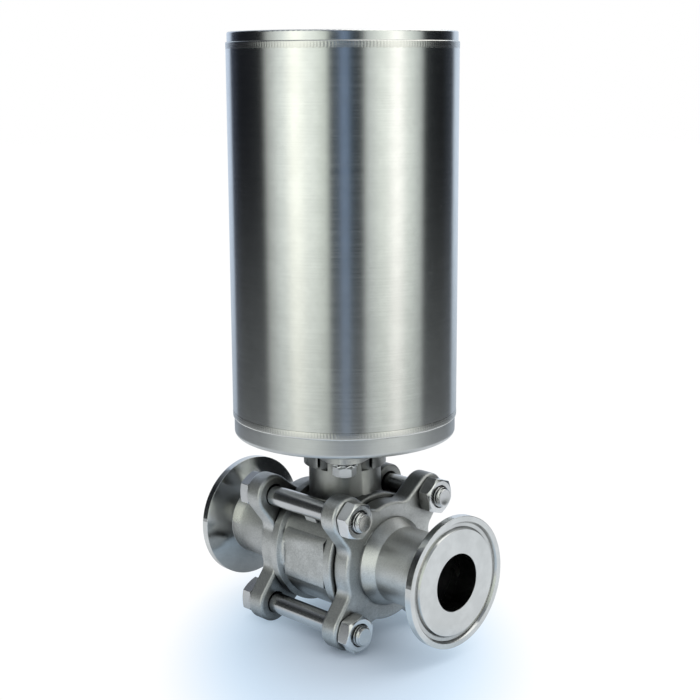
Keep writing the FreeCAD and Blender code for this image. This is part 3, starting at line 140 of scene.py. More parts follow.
# Cast eye of the centre body round the far upper bolt, and its stub under the near one.
EYE_RADIUS = 7.5
EYE_HALF = 3.0
EYE_HOLE = 4.35
EYE_FOOT = 11.0
EYE_ROUND = 0.9
EYE_BEVEL = 0.4
STUB_HOLE = 4.7
STUB_ANGLES = (-18, 35)
# Welds: radii of the tube and the covers, half a bead's width, and for each bead the tube end's
# height over the ball's centre and the way to its cover.
TUBE_RADIUS = 43.55
CAP_RADIUS = 43.05
WELD_HALF = 1.42
WELDS = ((56.4, -1), (195.6, 1))
# How each nut happens to stand on its bolt, by its side and level, and each mounting bolt's head
# by its place on the circle, in degrees.
NUT_TURNS = {(-1, -1): -15, (-1, 1): 15, (1, -1): 3, (1, 1): 12}
PAD_HEAD_TURNS = {-45: -9, 135: 20}
# The return springs, which get their own mesh.
SPRINGS = ("outer_spring", "inner_spring")
# Points round a fastener, and how far a face may lean and still be round about the stem's axis.
ROUND_POINTS = 96
ROUND_LEAN = math.radians(12)
BALL_CENTRE = Vector(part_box("ball")[0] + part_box("ball")[1]) / 2
CAD_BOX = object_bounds()


# Settings that a user would change

def colour_setting(name, description, default):
    """Colour that a user may change."""
    return bpy.props.FloatVectorProperty(name=name, description=description, default=default,
                                         subtype="COLOR", size=3, min=0, max=1)


def length_setting(name, description, default, **limits):
    """Length in metres that a user may change."""
    return bpy.props.FloatProperty(name=name, description=description, default=default,
                                   subtype="DISTANCE", unit="LENGTH", **limits)


def angle_setting(name, description, degrees):
    """Angle that a user may change."""
    return bpy.props.FloatProperty(name=name, description=description,
                                   default=math.radians(degrees), subtype="ANGLE")


class FinishSettings(bpy.types.PropertyGroup):
    """Colours and surface detail of the valve's metals and plastics."""

    # The casting's tone runs between these two; painted highlights lean it to the light one and
    # painted shade to the dark one.
    cast_light: colour_setting(
        "Cast steel, light", "Blasted casting where it is brightest", (0.70, 0.705, 0.685))
    cast_dark: colour_setting(
        "Cast steel, dark", "Blasted casting where it is dullest", (0.43, 0.435, 0.42))
    tube_colour: colour_setting(
        "Brushed tube", "Brushed stainless steel of the actuator", (0.74, 0.745, 0.725))
    cover_colour: colour_setting(
        "Bottom cover", "Ground steel of the actuator's bottom cover", (0.60, 0.61, 0.60))
    bright_colour: colour_setting(
        "Bright steel", "Nuts and turned inner pieces", (0.76, 0.76, 0.75))
    fastener_colour: colour_setting(
        "Fasteners", "Through bolts, plain washers and clips", (0.60, 0.60, 0.59))
    weld_colour: colour_setting(
        "Weld", "Weld beads with a trace of straw colour", (0.74, 0.735, 0.70))
    grain_size: length_setting(
        "Casting grain", "Width of one grain of the blasted skin", 0.00045, min=0.0001, max=0.003)
    brush_spacing: length_setting(
        "Brush lines", "Distance between the tube's brush lines", 0.00035, min=0.0001, max=0.003)


class ShapeSettings(bpy.types.PropertyGroup):
    """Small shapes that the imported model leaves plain."""

    thread_pitch: length_setting(
        "Thread pitch", "Pitch of the through bolts' thread", 0.00125, min=0.0005, max=0.003)
    weld_ripple: length_setting(
        "Weld ripple", "Height of the scales on the weld beads", 0.00005, min=0, max=0.0005)
    weld_scales: bpy.props.IntProperty(
        name="Weld scales", description="Number of scales round a weld bead",
        default=230, min=20, max=400)


class StageSettings(bpy.types.PropertyGroup):
    """Studio: floor, light and the camera."""

    # Its pale blue is a painted tint of the shade near the valve.
    floor_colour: colour_setting("Floor", "Pale floor under the valve", (0.80, 0.89, 1.0))
    room_light: bpy.props.FloatProperty(
        name="Room light", description="Even light from all sides", default=0.62, min=0, max=2)
    azimuth: angle_setting("Azimuth", "Camera round the valve", 45.37)
    elevation: angle_setting("Elevation", "Camera over the horizon", 11.47)
    roll: angle_setting("Roll", "Camera turned about its own axis", -0.27)
    distance: length_setting("Distance", "Camera from the point it looks at", 0.54983)
    aim_right: length_setting(
        "Aim to the right", "Point looked at, beside the stem's axis", 0.0022)
    aim_up: length_setting(
        "Aim over the ball", "Point looked at, over the ball's centre", 0.07986)
    lens: bpy.props.FloatProperty(
        name="Lens", description="Focal length on a 36 mm wide sensor", default=72.78, min=10)


# Surfaces: arrays of points on a grid, joined into one mesh for each piece

def surface(points, wrap_rows=False, wrap_columns=False):
    """Grid of points, shaped (rows, columns, 3), as flat points and quads.

    A wrapped side joins its end to its start.
    """
    rows, columns = points.shape[:2]
    row = np.arange(rows if wrap_rows else rows - 1)[:, None]
    column = np.arange(columns if wrap_columns else columns - 1)[None, :]
    next_row = (row + 1) % rows
    next_column = (column + 1) % columns
    corners = [row * columns + column, row * columns + next_column,
               next_row * columns + next_column, next_row * columns + column]
    return points.reshape(-1, 3), np.stack(np.broadcast_arrays(*corners), axis=-1).reshape(-1, 4)


def placed(part, place):
    """The same points and quads, brought from millimetres to metres and to their place."""
    points, faces = part
    place = np.array(place)
    return points * MM @ place[:3, :3].T + place[:3, 3], faces


def new_mesh(name, parts):
    """Mesh of all parts with doubled points merged and every face pointing outwards."""
    points = np.concatenate([part[0] for part in parts])
    starts = np.cumsum([0] + [len(part[0]) for part in parts[:-1]])
    faces = np.concatenate([part[1] + start for part, start in zip(parts, starts)])
    mesh = bpy.data.meshes.new(name)
    mesh.vertices.add(len(points))
    mesh.vertices.foreach_set("co", points.astype(np.float32).ravel())
    mesh.loops.add(faces.size)
    mesh.loops.foreach_set("vertex_index", faces.astype(np.int32).ravel())
    mesh.polygons.add(len(faces))
    mesh.polygons.foreach_set("loop_start", np.arange(0, faces.size, 4, dtype=np.int32))
    mesh.update(calc_edges=True)
    return weld(mesh, outwards=True)


def weld(mesh, outwards):
    """Merges doubled points, then points every face outwards or else drops faces of no area."""
    welded = bmesh.new()
    welded.from_mesh(mesh)
    bmesh.ops.remove_doubles(welded, verts=welded.verts, dist=2e-6)
    if outwards:
        bmesh.ops.recalc_face_normals(welded, faces=welded.faces)
    else:
        bmesh.ops.dissolve_degenerate(welded, edges=welded.edges, dist=1e-6)
    welded.to_mesh(mesh)
    welded.free()
    return mesh


def round_points(rows, angle):
    """Points round +Z from rows of (radius, height), each one number or one for every angle."""
    radius, height = (np.stack([np.broadcast_to(row[part], angle.shape) for row in rows])
                      for part in (0, 1))
    return np.stack([radius * np.cos(angle), radius * np.sin(angle), height], axis=-1)


def lathe(rows, wrap_rows=False, turns=ROUND_POINTS):
    """Surface about +Z from such rows, with column j at j / turns of a circle."""
    return surface(round_points(rows, full_circle(turns)), wrap_rows, wrap_columns=True)


def full_circle(turns=ROUND_POINTS):
    """Angles of a full circle, without its end."""
    return np.linspace(0, 2 * np.pi, turns, endpoint=False)


def hexagon_rows(across, low, high):
    """Rows (radius, height) of a hexagon whose corners are turned off by a cone.

    A corner lies at angle 0, and the side's radius is across / 2 divided by the cosine of the
    angle to the middle of the nearest side. The cone starts at the flat face's radius f, so a
    side point at radius r lies (r - f) * tan(HEX_CONE) under the face. The rows run from the low
    face over the sides to the high face.
    """
    side = across / 2 / np.cos(np.mod(full_circle(), np.pi / 3) - np.pi / 6)
    flat = HEX_FACE * across
    drop = np.maximum(side - flat, 0) * math.tan(HEX_CONE)
    return [(flat, low), (side, low + drop), (side, high - drop), (flat, high)]


def thread_rows(pitch, low, high):
    """Rows of the through bolt's thread, which ends in a bevelled tip.

    With w = |2 frac(z / pitch - angle / turn) - 1|, the flank rises from the root at w = 1/4 to
    the crest at w = 7/8. The radius is the smaller of that and the tip's cone.
    """
    steps = int(round((high - low) / pitch * THREAD_STEPS)) + 1
    height = np.linspace(low, high, steps)[:, None]
    wave = height / pitch - full_circle()[None, :] / (2 * np.pi)
    wave = np.abs(2 * np.mod(wave, 1.0) - 1)
    flank = np.clip((wave - 0.25) / 0.625, 0, 1)
    radius = BOLT_RADIUS - THREAD_DEPTH * pitch * (1 - flank)
    tip = np.clip((height - high + TIP_LONG) / TIP_LONG, 0, 1)
    cone = BOLT_RADIUS + (TIP_RADIUS - BOLT_RADIUS) * tip
    return zip(np.minimum(radius, cone), height)


def head_rows(across, high, floor, rim, deep):
    """Rows of a hexagon head from -high up to 0, with a shallow dish in its face."""
    return [(0, deep - high), (floor, deep - high), (rim, -high), *hexagon_rows(across, -high, 0)]


def through_bolt(pitch):
    """Through bolt along +Z, its head below 0: bevelled hexagon, plain shank, threaded end."""
    end = 2 * FLANGE_OUT + BOLT_PAST_FLANGE
    start = 2 * FLANGE_OUT - THREAD_INSIDE
    rows = head_rows(BOLT_ACROSS, BOLT_HEAD, *BOLT_DISH)
    rows += [(BOLT_RADIUS, 0), (BOLT_RADIUS, start - THREAD_RUNOUT)]
    rows += thread_rows(pitch, start, end)
    rows += [(0.62 * BOLT_RADIUS, end), (0.5 * BOLT_RADIUS, end - 0.12), (0, end - 0.15)]
    return lathe(rows)


def hex_nut():
    """Nut along +Z with turned-off corners on both faces and a countersunk bore."""
    bore = BOLT_RADIUS + NUT_PLAY
    sink = bore + NUT_SINK
    rows = [(bore, NUT_SINK), (sink, 0), *hexagon_rows(BOLT_ACROSS, 0, NUT_HIGH),
            (sink, NUT_HIGH), (bore, NUT_HIGH - NUT_SINK)]
    return lathe(rows, wrap_rows=True)


def mounting_bolt():
    """Mounting bolt along +Z with its head below 0 and a plain shank, hidden in the pad."""
    rows = head_rows(PAD_BOLT_ACROSS, PAD_HEAD, *PAD_HEAD_DISH)
    rows += [(PAD_BOLT_RADIUS, 0), (PAD_BOLT_RADIUS, PAD_BOLT_LONG - PAD_BOLT_TIP),
             (PAD_BOLT_RADIUS - PAD_BOLT_TIP, PAD_BOLT_LONG), (0, PAD_BOLT_LONG)]
    return lathe(rows)


def tooth_washer(teeth=9, turns=360):
    """Lock washer with twisted outer teeth, from 0 to TOOTH_WASHER along +Z.

    Over one tooth, which runs from -TOOTH_HALF to TOOTH_HALF of the pitch, the outer radius steps
    out with sloping flanks, and the section tilts from TOOTH_TWIST under the middle to as much
    over it.
    """
    local = np.mod(full_circle(turns) * teeth / (2 * np.pi), 1.0) - 0.5
    step = np.clip((TOOTH_HALF - np.abs(local)) / TOOTH_FLANK, 0, 1)
    outer = WASHER_RING + (WASHER_RADIUS - WASHER_RING) * step
    tilt = TOOTH_TWIST * np.clip(local / TOOTH_HALF, -1, 1) * step
    inner = PAD_BOLT_RADIUS + WASHER_PLAY
    middle = TOOTH_WASHER / 2
    upper = [(outer, WASHER_RIM), (outer - WASHER_ROUND, WASHER_HALF), (inner, WASHER_HALF)]
    rows = []
    for radius, side in [(radius, -side) for radius, side in reversed(upper)] + upper:
        share = np.clip((radius - inner) / (WASHER_RADIUS - inner), 0, 1)
        rows.append((radius, middle + side + tilt * share))
    return lathe(rows, wrap_rows=True, turns=turns)


def weld_bead(end, way, ripple, scales):
    """Weld bead about +Z between the tube and a cover, with scales like a row of fallen coins.

    s runs from -1 on the tube to 1 on the cover. The bead bulges as 1 - s^2. The scales are a
    zigzag of scales * angle / turn + s^2 / 4, so their fronts are curved, and slow waves of the
    angle change their height and move the bead up and down a little.
    """
    turns = scales * 8
    angle = full_circle(turns)[None, :]
    share = np.linspace(-1, 1, 13)[:, None]
    wander = 0.10 * np.sin(7 * angle) + 0.07 * np.sin(23 * angle + 1.0)
    height = end + way * (0.05 + WELD_HALF * share + wander * (1 - share ** 2))
    strength = 0.75 + 0.25 * np.sin(5 * angle + 0.6) * np.sin(17 * angle)
    step = TUBE_RADIUS - CAP_RADIUS
    foot = TUBE_RADIUS - 0.04 - step * np.clip((share - 0.8) / 0.2, 0, 1)
    phase = np.mod(scales * angle / (2 * np.pi) + 0.25 * share ** 2
                   + 0.06 * np.sin(31 * angle), 1.0)
    scale = ripple * strength * np.abs(2 * phase - 1) ** 0.8
    radius = foot + 0.02 + (1 - share ** 2) * (0.02 + scale)
    rows = [*zip(radius, height), (CAP_RADIUS - 0.6, end + way * 1.3),
            (CAP_RADIUS - 0.9, end - way)]
    return lathe(rows, wrap_rows=True, turns=turns)


def eye_section(angle, inner):
    """Closed section of the cast eye at each angle round its bolt; angle 0 points at the pipe.

    The outer radius is EYE_RADIUS. On the pipe's side it is the smaller of EYE_RADIUS / |sin|,
    a foot with straight sides, and EYE_FOOT / cos, its flat end inside the body.
    """
    aside = np.maximum(np.abs(np.sin(angle)), 1e-6)
    inwards = np.maximum(np.cos(angle), 1e-6)
    foot = np.minimum(EYE_RADIUS / aside, EYE_FOOT / inwards)
    outer = np.where(np.cos(angle) > 0, foot, EYE_RADIUS)
    rows = [(inner, EYE_BEVEL - EYE_HALF), (inner + EYE_BEVEL, -EYE_HALF)]
    for bend in np.linspace(0, np.pi / 2, 6):
        rows.append((outer - EYE_ROUND * (1 - math.sin(bend)),
                     EYE_ROUND * (1 - math.cos(bend)) - EYE_HALF))
    rows += [(radius, -height) for radius, height in reversed(rows)]
    return round_points(rows, angle)


def cast_eye():
    """Whole eye about +Z, its foot towards +X."""
    return surface(eye_section(full_circle(192), EYE_HOLE), wrap_rows=True, wrap_columns=True)


def cast_stub():
    """Short part of the same section, milled off under its bolt and closed at both ends."""
    angle = np.radians(np.linspace(*STUB_ANGLES, 24))
    points = eye_section(angle, STUB_HOLE)
    middle = points.mean(axis=0, keepdims=True) + 0 * points
    points = np.concatenate([middle[:, :1], points, middle[:, -1:]], axis=1)
    return surface(points, wrap_rows=True)


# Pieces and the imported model

def new_object(name, data):
    """Object in the scene's own collection."""
    made = bpy.data.objects.new(name, data)
    bpy.context.scene.collection.objects.link(made)
    return made


def finish_piece(piece, body, material, angle, replaced):
    """Shades a piece, gives it its material and tells the frame what it rides on and replaces."""
    piece.data.polygons.foreach_set("use_smooth", np.ones(len(piece.data.polygons), bool))
    piece.data.set_sharp_from_angle(angle=math.radians(angle))
    piece.data.materials.clear()
    piece.data.materials.append(material)
    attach(piece, body)
    if replaced:
        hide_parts(*replaced)
    return piece


def new_piece(name, parts, body, material, angle, replaced=()):
    """New object from parts in metres, already in place."""
    piece = new_object(name, new_mesh(name, parts))
    return finish_piece(piece, body, material, angle, replaced)


# Shader node groups: each puts out masks, values or heights only

def new_group(name, outputs, **numbers):
    """Shader node group with a Position and numbers as inputs, and values as outputs.

    Gives the group, and from inside it the sockets to read and the sockets to feed.
    """
    group = bpy.data.node_groups.new(name, "ShaderNodeTree")
    group.interface.new_socket("Position", in_out="INPUT", socket_type="NodeSocketVector")
    for label, default in numbers.items():
        socket = group.interface.new_socket(label, in_out="INPUT", socket_type="NodeSocketFloat")
        socket.default_value = default
    for label in outputs:
        group.interface.new_socket(label, in_out="OUTPUT", socket_type="NodeSocketFloat")
    start = group.nodes.new("NodeGroupInput")
    end = group.nodes.new("NodeGroupOutput")
    return group, start.outputs, end.inputs


def feed(socket, value):
    """Gives an input its value: a socket, or a plain number, vector or colour."""
    if isinstance(value, bpy.types.NodeSocket):
        socket.id_data.links.new(value, socket)
    elif socket.type == "RGBA":
        socket.default_value = (*value, 1.0)
    else:
        socket.default_value = value


def add_node(tree, kind, settings=None, **values):
    """Node with attributes from settings and inputs fed by socket name."""
    made = tree.nodes.new(kind)
    for name, value in (settings or {}).items():
        setattr(made, name, value)
    for name, value in values.items():
        feed(made.inputs[name.replace("_", " ")], value)
    return made


def fed_in_order(tree, kind, settings, values):
    """Node whose inputs take the values one after the other; gives its outputs."""
    made = add_node(tree, kind, settings)
    for socket, value in zip(made.inputs, values):
        feed(socket, value)
    return made.outputs


def maths(tree, operation, *values, clamp=False):
    """Math node whose inputs are sockets or plain numbers; gives its output socket."""
    settings = {"operation": operation, "use_clamp": clamp}
    return fed_in_order(tree, "ShaderNodeMath", settings, values)[0]


def times(tree, first, second):
    """Product of two values."""
    return maths(tree, "MULTIPLY", first, second)


def vector_maths(tree, operation, *values):
    """Vector Math node; gives its outputs, Vector and Value."""
    return fed_in_order(tree, "ShaderNodeVectorMath", {"operation": operation}, values)


def summed(tree, start, *terms):
    """Start plus each value times its weight."""
    for value, weight in terms:
        start = maths(tree, "MULTIPLY_ADD", value, weight, start)
    return start


def opposite(tree, mask):
    """1 minus a mask."""
    return maths(tree, "SUBTRACT", 1.0, mask)


def split_axes(tree, vector):
    """X, Y and Z of a vector."""
    return tuple(add_node(tree, "ShaderNodeSeparateXYZ", Vector=vector).outputs)


def noise(tree, vector, scale, detail=3.0, roughness=0.55):
    """Noise value for a position in metres."""
    return add_node(tree, "ShaderNodeTexNoise", Vector=vector, Scale=scale, Detail=detail,
                    Roughness=roughness).outputs["Fac"]


def mapped(tree, value, low, high, new_low=0.0, new_high=1.0):
    """Value carried smoothly from one range to another."""
    return add_node(tree, "ShaderNodeMapRange", {"interpolation_type": "SMOOTHSTEP"}, Value=value,
                    From_Min=low, From_Max=high, To_Min=new_low, To_Max=new_high).outputs["Result"]


def grain_group():
    """Blasted casting skin: fine grains over shallow waves, with dull and bright patches."""
    group, start, end = new_group("Casting skin", ("Height", "Patches", "Speckle"), Grain=0.00045)
    position = start["Position"]
    fine = noise(group, position, maths(group, "DIVIDE", 1.0, start["Grain"]), 4.0, 0.65)
    waves = noise(group, position, 260.0, 2.0)
    patches = noise(group, position, 90.0, 5.0, 0.62)
    pits = add_node(group, "ShaderNodeTexVoronoi", Vector=position, Scale=420.0, Randomness=1.0)
    pit = mapped(group, pits.outputs["Distance"], 0.10, 0.02)
    feed(end["Height"], summed(group, fine, (waves, 0.6), (pit, -0.35)))
    feed(end["Patches"], mapped(group, patches, 0.34, 0.66))
    feed(end["Speckle"], mapped(group, fine, 0.36, 0.64))


def turning_group():
    """Fine lines that run round an axis along Z.

    The lines are a one-way noise of height plus radius, so they are rings on a face and hoops
    on a side, and they change slowly round the axis.
    """
    group, start, end = new_group("Turning lines", ("Height", "Shade"), Spacing=0.0004)
    x, y, z = split_axes(group, start["Position"])
    square = maths(group, "MULTIPLY_ADD", y, y, times(group, x, x))
    along = maths(group, "ADD", maths(group, "SQRT", square), z)
    place = add_node(group, "ShaderNodeCombineXYZ", X=times(group, x, 22.0),
                     Y=times(group, y, 22.0),
                     Z=maths(group, "DIVIDE", along, start["Spacing"])).outputs["Vector"]
    fine = noise(group, place, 1.0, 3.0, 0.7)
    wide = noise(group, place, 0.12, 2.0, 0.5)
    feed(end["Height"], summed(group, fine, (wide, 0.4)))
    feed(end["Shade"], mapped(group, fine, 0.3, 0.7))


def wear_group():
    """Handling marks: soft blotches and a few thin scratches, for bright metal."""
    group, start, end = new_group("Handling marks", ("Blotches", "Scratches"))
    blotches = noise(group, start["Position"], 130.0, 4.0, 0.6)
    stretch = add_node(group, "ShaderNodeMapping", Vector=start["Position"],
                       Rotation=(0.5, 0.3, 0.9), Scale=(1.0, 0.04, 0.4))
    thin = noise(group, stretch.outputs[0], 2600.0, 2.0, 0.5)
    feed(end["Blotches"], mapped(group, blotches, 0.36, 0.66))
    feed(end["Scratches"], mapped(group, thin, 0.70, 0.78))


def shared_groups():
    """All node groups by name; the valve's three are made at the first call."""
    if "Casting skin" not in bpy.data.node_groups:
        grain_group()
        turning_group()
        wear_group()
    return bpy.data.node_groups


def place_group(tree, name, vector, **values):
    """Outputs of a shared node group, put into a material and fed with a position."""
    return add_node(tree, "ShaderNodeGroup", {"node_tree": shared_groups()[name]},
                    Position=vector, **values).outputs


# Materials

def new_material(name, metallic, **values):
    """Material with a Principled shader; gives its tree, the shader and the object's position."""
    material = bpy.data.materials.new(name)
    material.use_nodes = True
    tree = material.node_tree
    shader = tree.nodes["Principled BSDF"]
    for label, value in {"Metallic": metallic, **values}.items():
        feed(shader.inputs[label.replace("_", " ")], value)
    return material, tree, shader, tree.nodes.new("ShaderNodeTexCoord").outputs["Object"]


def blend_colours(tree, mask, low, high, way="MIX"):
    """Colour that goes from low to high with a mask."""
    return add_node(tree, "ShaderNodeMix", {"data_type": "RGBA", "blend_type": way},
                    Factor=mask, A=low, B=high).outputs["Result"]


def fill_shader(tree, shader, colour, rough, height, depth, normal=None):
    """Feeds a shader its colour, its roughness and a bump.

    The bump's depth is in metres, and its height runs from 0 to about 1. It stands on the rounded
    normal where there is one.
    """
    bump = add_node(tree, "ShaderNodeBump", Strength=1.0, Distance=depth, Height=height)
    if normal is not None:
        feed(bump.inputs["Normal"], normal)
    feed(shader.inputs["Base Color"], colour)
    feed(shader.inputs["Roughness"], rough)
    feed(shader.inputs["Normal"], bump.outputs["Normal"])


def turned_position(tree, position, centre, rotation):
    """Object position moved so that a piece's own turning axis becomes Z."""
    shifted = vector_maths(tree, "SUBTRACT", position, centre)["Vector"]
    return add_node(tree, "ShaderNodeMapping", Vector=shifted, Rotation=rotation).outputs[0]


# Rotations that bring a turning axis to Z.
ALONG_PIPE = (0.0, -math.pi / 2, 0.0)
ALONG_STEM = (0.0, 0.0, 0.0)
# Depths of the casting's skin and of the lathe's lines, and radius of a worn edge, in metres.
SKIN_DEPTH = 0.00007
LINE_DEPTH = 0.000004
EDGE_RADIUS = 0.0003
# Painted shade in corners and hollows: reach in metres, share of the tone that is left where all is
# closed in, and for wide hollows the openness over which the tone comes back.
CAST_CORNER_SHADE = (0.008, 0.24)
CAST_HOLLOW_SHADE = (0.045, 0.30, (0.15, 0.62))
STEEL_CORNER_SHADE = (0.014, 0.22)
# Colour of lightened edges: partly bare steel rubbed by wear, partly painted highlight.
BARE_STEEL_HIGHLIGHT = (0.95, 0.95, 0.94)
# Where the casting turns satin and then fine turned, in metres from the stem along the pipe.
SATIN_FROM = (0.0445, 0.0480)
FINE_FROM = (0.0500, 0.0525)
# Where its tone changes, in metres: painted shade of the neck up the stem and along the pipe, and a
# painted highlight towards the nuts.
NECK_SHADE_HIGH = (0.0535, 0.0560)
NECK_SHADE_WIDE = (0.0174, 0.0168)
NUT_SIDE_HIGHLIGHT = (0.0240, 0.0254)


def cast_steel():
    """Blasted investment casting whose pipe ends and ferrules are turned on a lathe.

    The distance from the stem along the pipe tells the finishes apart: blasted on the body and
    the pipe, satin towards the ferrule, fine turned on the ferrule itself. Rounded-edge normals
    give each casting edge its highlight, and its colour is lightened there, partly as bare steel
    rubbed by wear and partly as painted highlight. Hollows get painted shade. The neck under the
    pad gets painted shade, the darkest tone, where the actuator above shades it, and the nut
    side's face and pipe get a painted highlight, the brightest tone.
    """
    finish = bpy.context.scene.valve_finish
    material, tree, shader, position = new_material("Cast stainless steel", 1.0)
    skin = place_group(tree, "Casting skin", position, Grain=finish.grain_size)
    local = turned_position(tree, position, BALL_CENTRE, ALONG_PIPE)
    lines = place_group(tree, "Turning lines", local, Spacing=0.0009)
    marks = place_group(tree, "Handling marks", position)
    edge, rounded = edge_wear_and_highlight(tree)
    x, _, z = split_axes(tree, position)
    along = maths(tree, "ABSOLUTE", x)
    satin = mapped(tree, along, *SATIN_FROM)
    fine = mapped(tree, along, *FINE_FROM)
    blasted = opposite(tree, satin)
    # Masks for painted shade on the neck under the actuator and a painted highlight on the nut side.
    neck = times(tree, mapped(tree, z, *NECK_SHADE_HIGH), mapped(tree, along, *NECK_SHADE_WIDE))
    nut_side_highlight = times(tree, mapped(tree, x, *NUT_SIDE_HIGHLIGHT), blasted)
    light = summed(tree, 0.0, (skin["Patches"], 0.35), (skin["Speckle"], 0.5))
    smooth = times(tree, satin, summed(tree, 0.7, (marks["Blotches"], 0.25)))
    light = maths(tree, "MAXIMUM", light, smooth)
    # Painted shade on the neck, then a painted highlight on the nut side and on the edges, which is
    # partly bare steel rubbed by wear.
    light = times(tree, light, opposite(tree, neck))
    light = maths(tree, "ADD", summed(tree, light, (nut_side_highlight, 0.45)), edge, clamp=True)
    colour = blend_colours(tree, light, finish.cast_dark, finish.cast_light)
    # Painted shade in the casting's corners and wider hollows.
    colour = painted_hollow_shade(tree, painted_hollow_shade(tree, colour, *CAST_CORNER_SHADE), *CAST_HOLLOW_SHADE)
    scratched = times(tree, marks["Scratches"], fine)
    rough = summed(tree, 0.46, (skin["Patches"], -0.08), (edge, -0.14), (satin, -0.14),
                   (fine, -0.12), (scratched, 0.10))
    height = summed(tree, times(tree, skin["Height"], blasted),
                    (times(tree, lines["Height"], satin), 0.04))
    fill_shader(tree, shader, colour, rough, height, SKIN_DEPTH, rounded)
    return material


def painted_hollow_shade(tree, colour, reach, floor, openness=(0.12, 0.85)):
    """Colour with painted shade in hollows: times floor where all is closed in, unchanged in the
    open.
    """
    hollow = add_node(tree, "ShaderNodeAmbientOcclusion", {"samples": 6}, Distance=reach)
    share = mapped(tree, hollow.outputs["AO"], *openness, floor, 1.0)
    return blend_colours(tree, 1.0, colour, share, "MULTIPLY")


def edge_wear_and_highlight(tree):
    """Mask that is 1 on edges and 0 on faces, and the rounded normal it comes from.

    The mask is 1 minus the cosine between the rounded normal and the face's own, stretched. It
    lightens edges, partly as bare steel rubbed by wear and partly as painted highlight.
    """
    rounded = add_node(tree, "ShaderNodeBevel", {"samples": 4},
                       Radius=EDGE_RADIUS).outputs["Normal"]
    face = tree.nodes.new("ShaderNodeNewGeometry").outputs["Normal"]
    same = vector_maths(tree, "DOT_PRODUCT", rounded, face)["Value"]
    return mapped(tree, opposite(tree, same), 0.02, 0.2), rounded


def turned_steel(name, colour, roughness, spacing, centre=(0, 0, 0), rotation=ALONG_STEM,
                 wear_highlight_and_shade=False, matt_over=None):
    """Turned or brushed steel with lines round its own axis and a few handling marks.

    Where wear and shade are asked for it has rounded edges, lightened partly as bare steel polished
    by wear and partly as painted highlight, and painted shade in hollows. Over a height in metres it
    may be matt, as a faced top is.
    """
    material, tree, shader, position = new_material(name, 1.0)
    local = turned_position(tree, position, centre, rotation)
    lines = place_group(tree, "Turning lines", local, Spacing=spacing)
    marks = place_group(tree, "Handling marks", position)
    dark = tuple(0.88 * channel for channel in colour)
    mask = summed(tree, 0.0, (lines["Shade"], 0.5), (marks["Blotches"], 0.5))
    shade = blend_colours(tree, mask, dark, colour)
    rough = summed(tree, roughness, (lines["Shade"], 0.05), (marks["Scratches"], 0.08))
    rounded = None
    # Edges lightened, partly bare steel rubbed by wear and partly painted highlight, over painted
    # shade in corners.
    if wear_highlight_and_shade:
        wear_and_highlight, rounded = edge_wear_and_highlight(tree)
        shade = blend_colours(tree, times(tree, wear_and_highlight, 0.7),
                              painted_hollow_shade(tree, shade, *STEEL_CORNER_SHADE), BARE_STEEL_HIGHLIGHT)
    if matt_over:
        faced = mapped(tree, split_axes(tree, position)[2], matt_over - 0.0002, matt_over)
        rough = summed(tree, rough, (faced, 0.26))
    fill_shader(tree, shader, shade, rough, lines["Height"], LINE_DEPTH, rounded)
    return material


def plain_solid(name, metallic, colour, roughness, grain, depth):
    """Moulded, sintered or coated surface with a fine even grain."""
    material, tree, shader, position = new_material(name, metallic)
    skin = place_group(tree, "Casting skin", position, Grain=grain)
    dark = tuple(0.85 * channel for channel in colour)
    shade = blend_colours(tree, skin["Patches"], dark, colour)
    rough = summed(tree, roughness, (skin["Speckle"], 0.06))
    fill_shader(tree, shader, shade, rough, skin["Height"], depth)
    return material


def make_materials():
    """Every material of the valve, by the record's slot or by a finish's own name."""
    finish = bpy.context.scene.valve_finish
    bright = finish.bright_colour
    brushed = finish.brush_spacing
    pipe = {"centre": BALL_CENTRE, "rotation": ALONG_PIPE}
    return {
        "cast_steel": cast_steel(),
        "tube_steel": turned_steel("Brushed tube", finish.tube_colour, 0.15, brushed),
        "weld": turned_steel("Weld metal", finish.weld_colour, 0.24, 0.0005),
        "cover_steel": turned_steel("Ground cover", finish.cover_colour, 0.34, brushed),
        "top_steel": turned_steel(
            "Top cover", finish.tube_colour, 0.15, brushed, matt_over=CAD_BOX[1][2] - 0.0001),
        "nut_steel": turned_steel("Nut steel", bright, 0.17, 0.0003, **pipe, wear_highlight_and_shade=True),
        "fastener_steel": turned_steel(
            "Fastener steel", finish.fastener_colour, 0.20, 0.0003, **pipe, wear_highlight_and_shade=True),
        "plated_steel": turned_steel(
            "Plated steel", (0.93, 0.94, 0.93), 0.36, 0.0003, centre=BALL_CENTRE),
        "turned_steel": turned_steel("Turned steel", bright, 0.18, 0.0002),
        "hard_steel": turned_steel(
            "Ground roller steel", (0.56, 0.56, 0.57), 0.12, 0.0002, **pipe),
        "light_alloy": turned_steel("Anodised alloy", (0.78, 0.79, 0.80), 0.28, 0.0004),
        "spring_steel": plain_solid(
            "Phosphated spring steel", 0.8, (0.16, 0.17, 0.19), 0.42, 0.0004, 0.00001),
        "white_polymer": plain_solid(
            "White seat polymer", 0.0, (0.86, 0.86, 0.83), 0.38, 0.0006, 0.000006),
        "dark_polymer": plain_solid(
            "Filled bearing polymer", 0.0, (0.12, 0.12, 0.125), 0.45, 0.0005, 0.00001),
        "black_rubber": plain_solid(
            "Black seal rubber", 0.0, (0.025, 0.025, 0.026), 0.5, 0.0004, 0.00001),
        "bronze": plain_solid("Sintered bronze", 1.0, (0.62, 0.44, 0.22), 0.45, 0.0005, 0.00008),
    }


MATERIALS = {}


def material_of(slot):
    """Material of a slot or a finish; all are made at the first call."""
    if not MATERIALS:
        MATERIALS.update(make_materials())
    return MATERIALS[slot]


def slot_of(node):
    """The record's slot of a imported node."""
    return next(row["material_slot"] for row in frame["record"]["subparts"] if row["node"] == node)


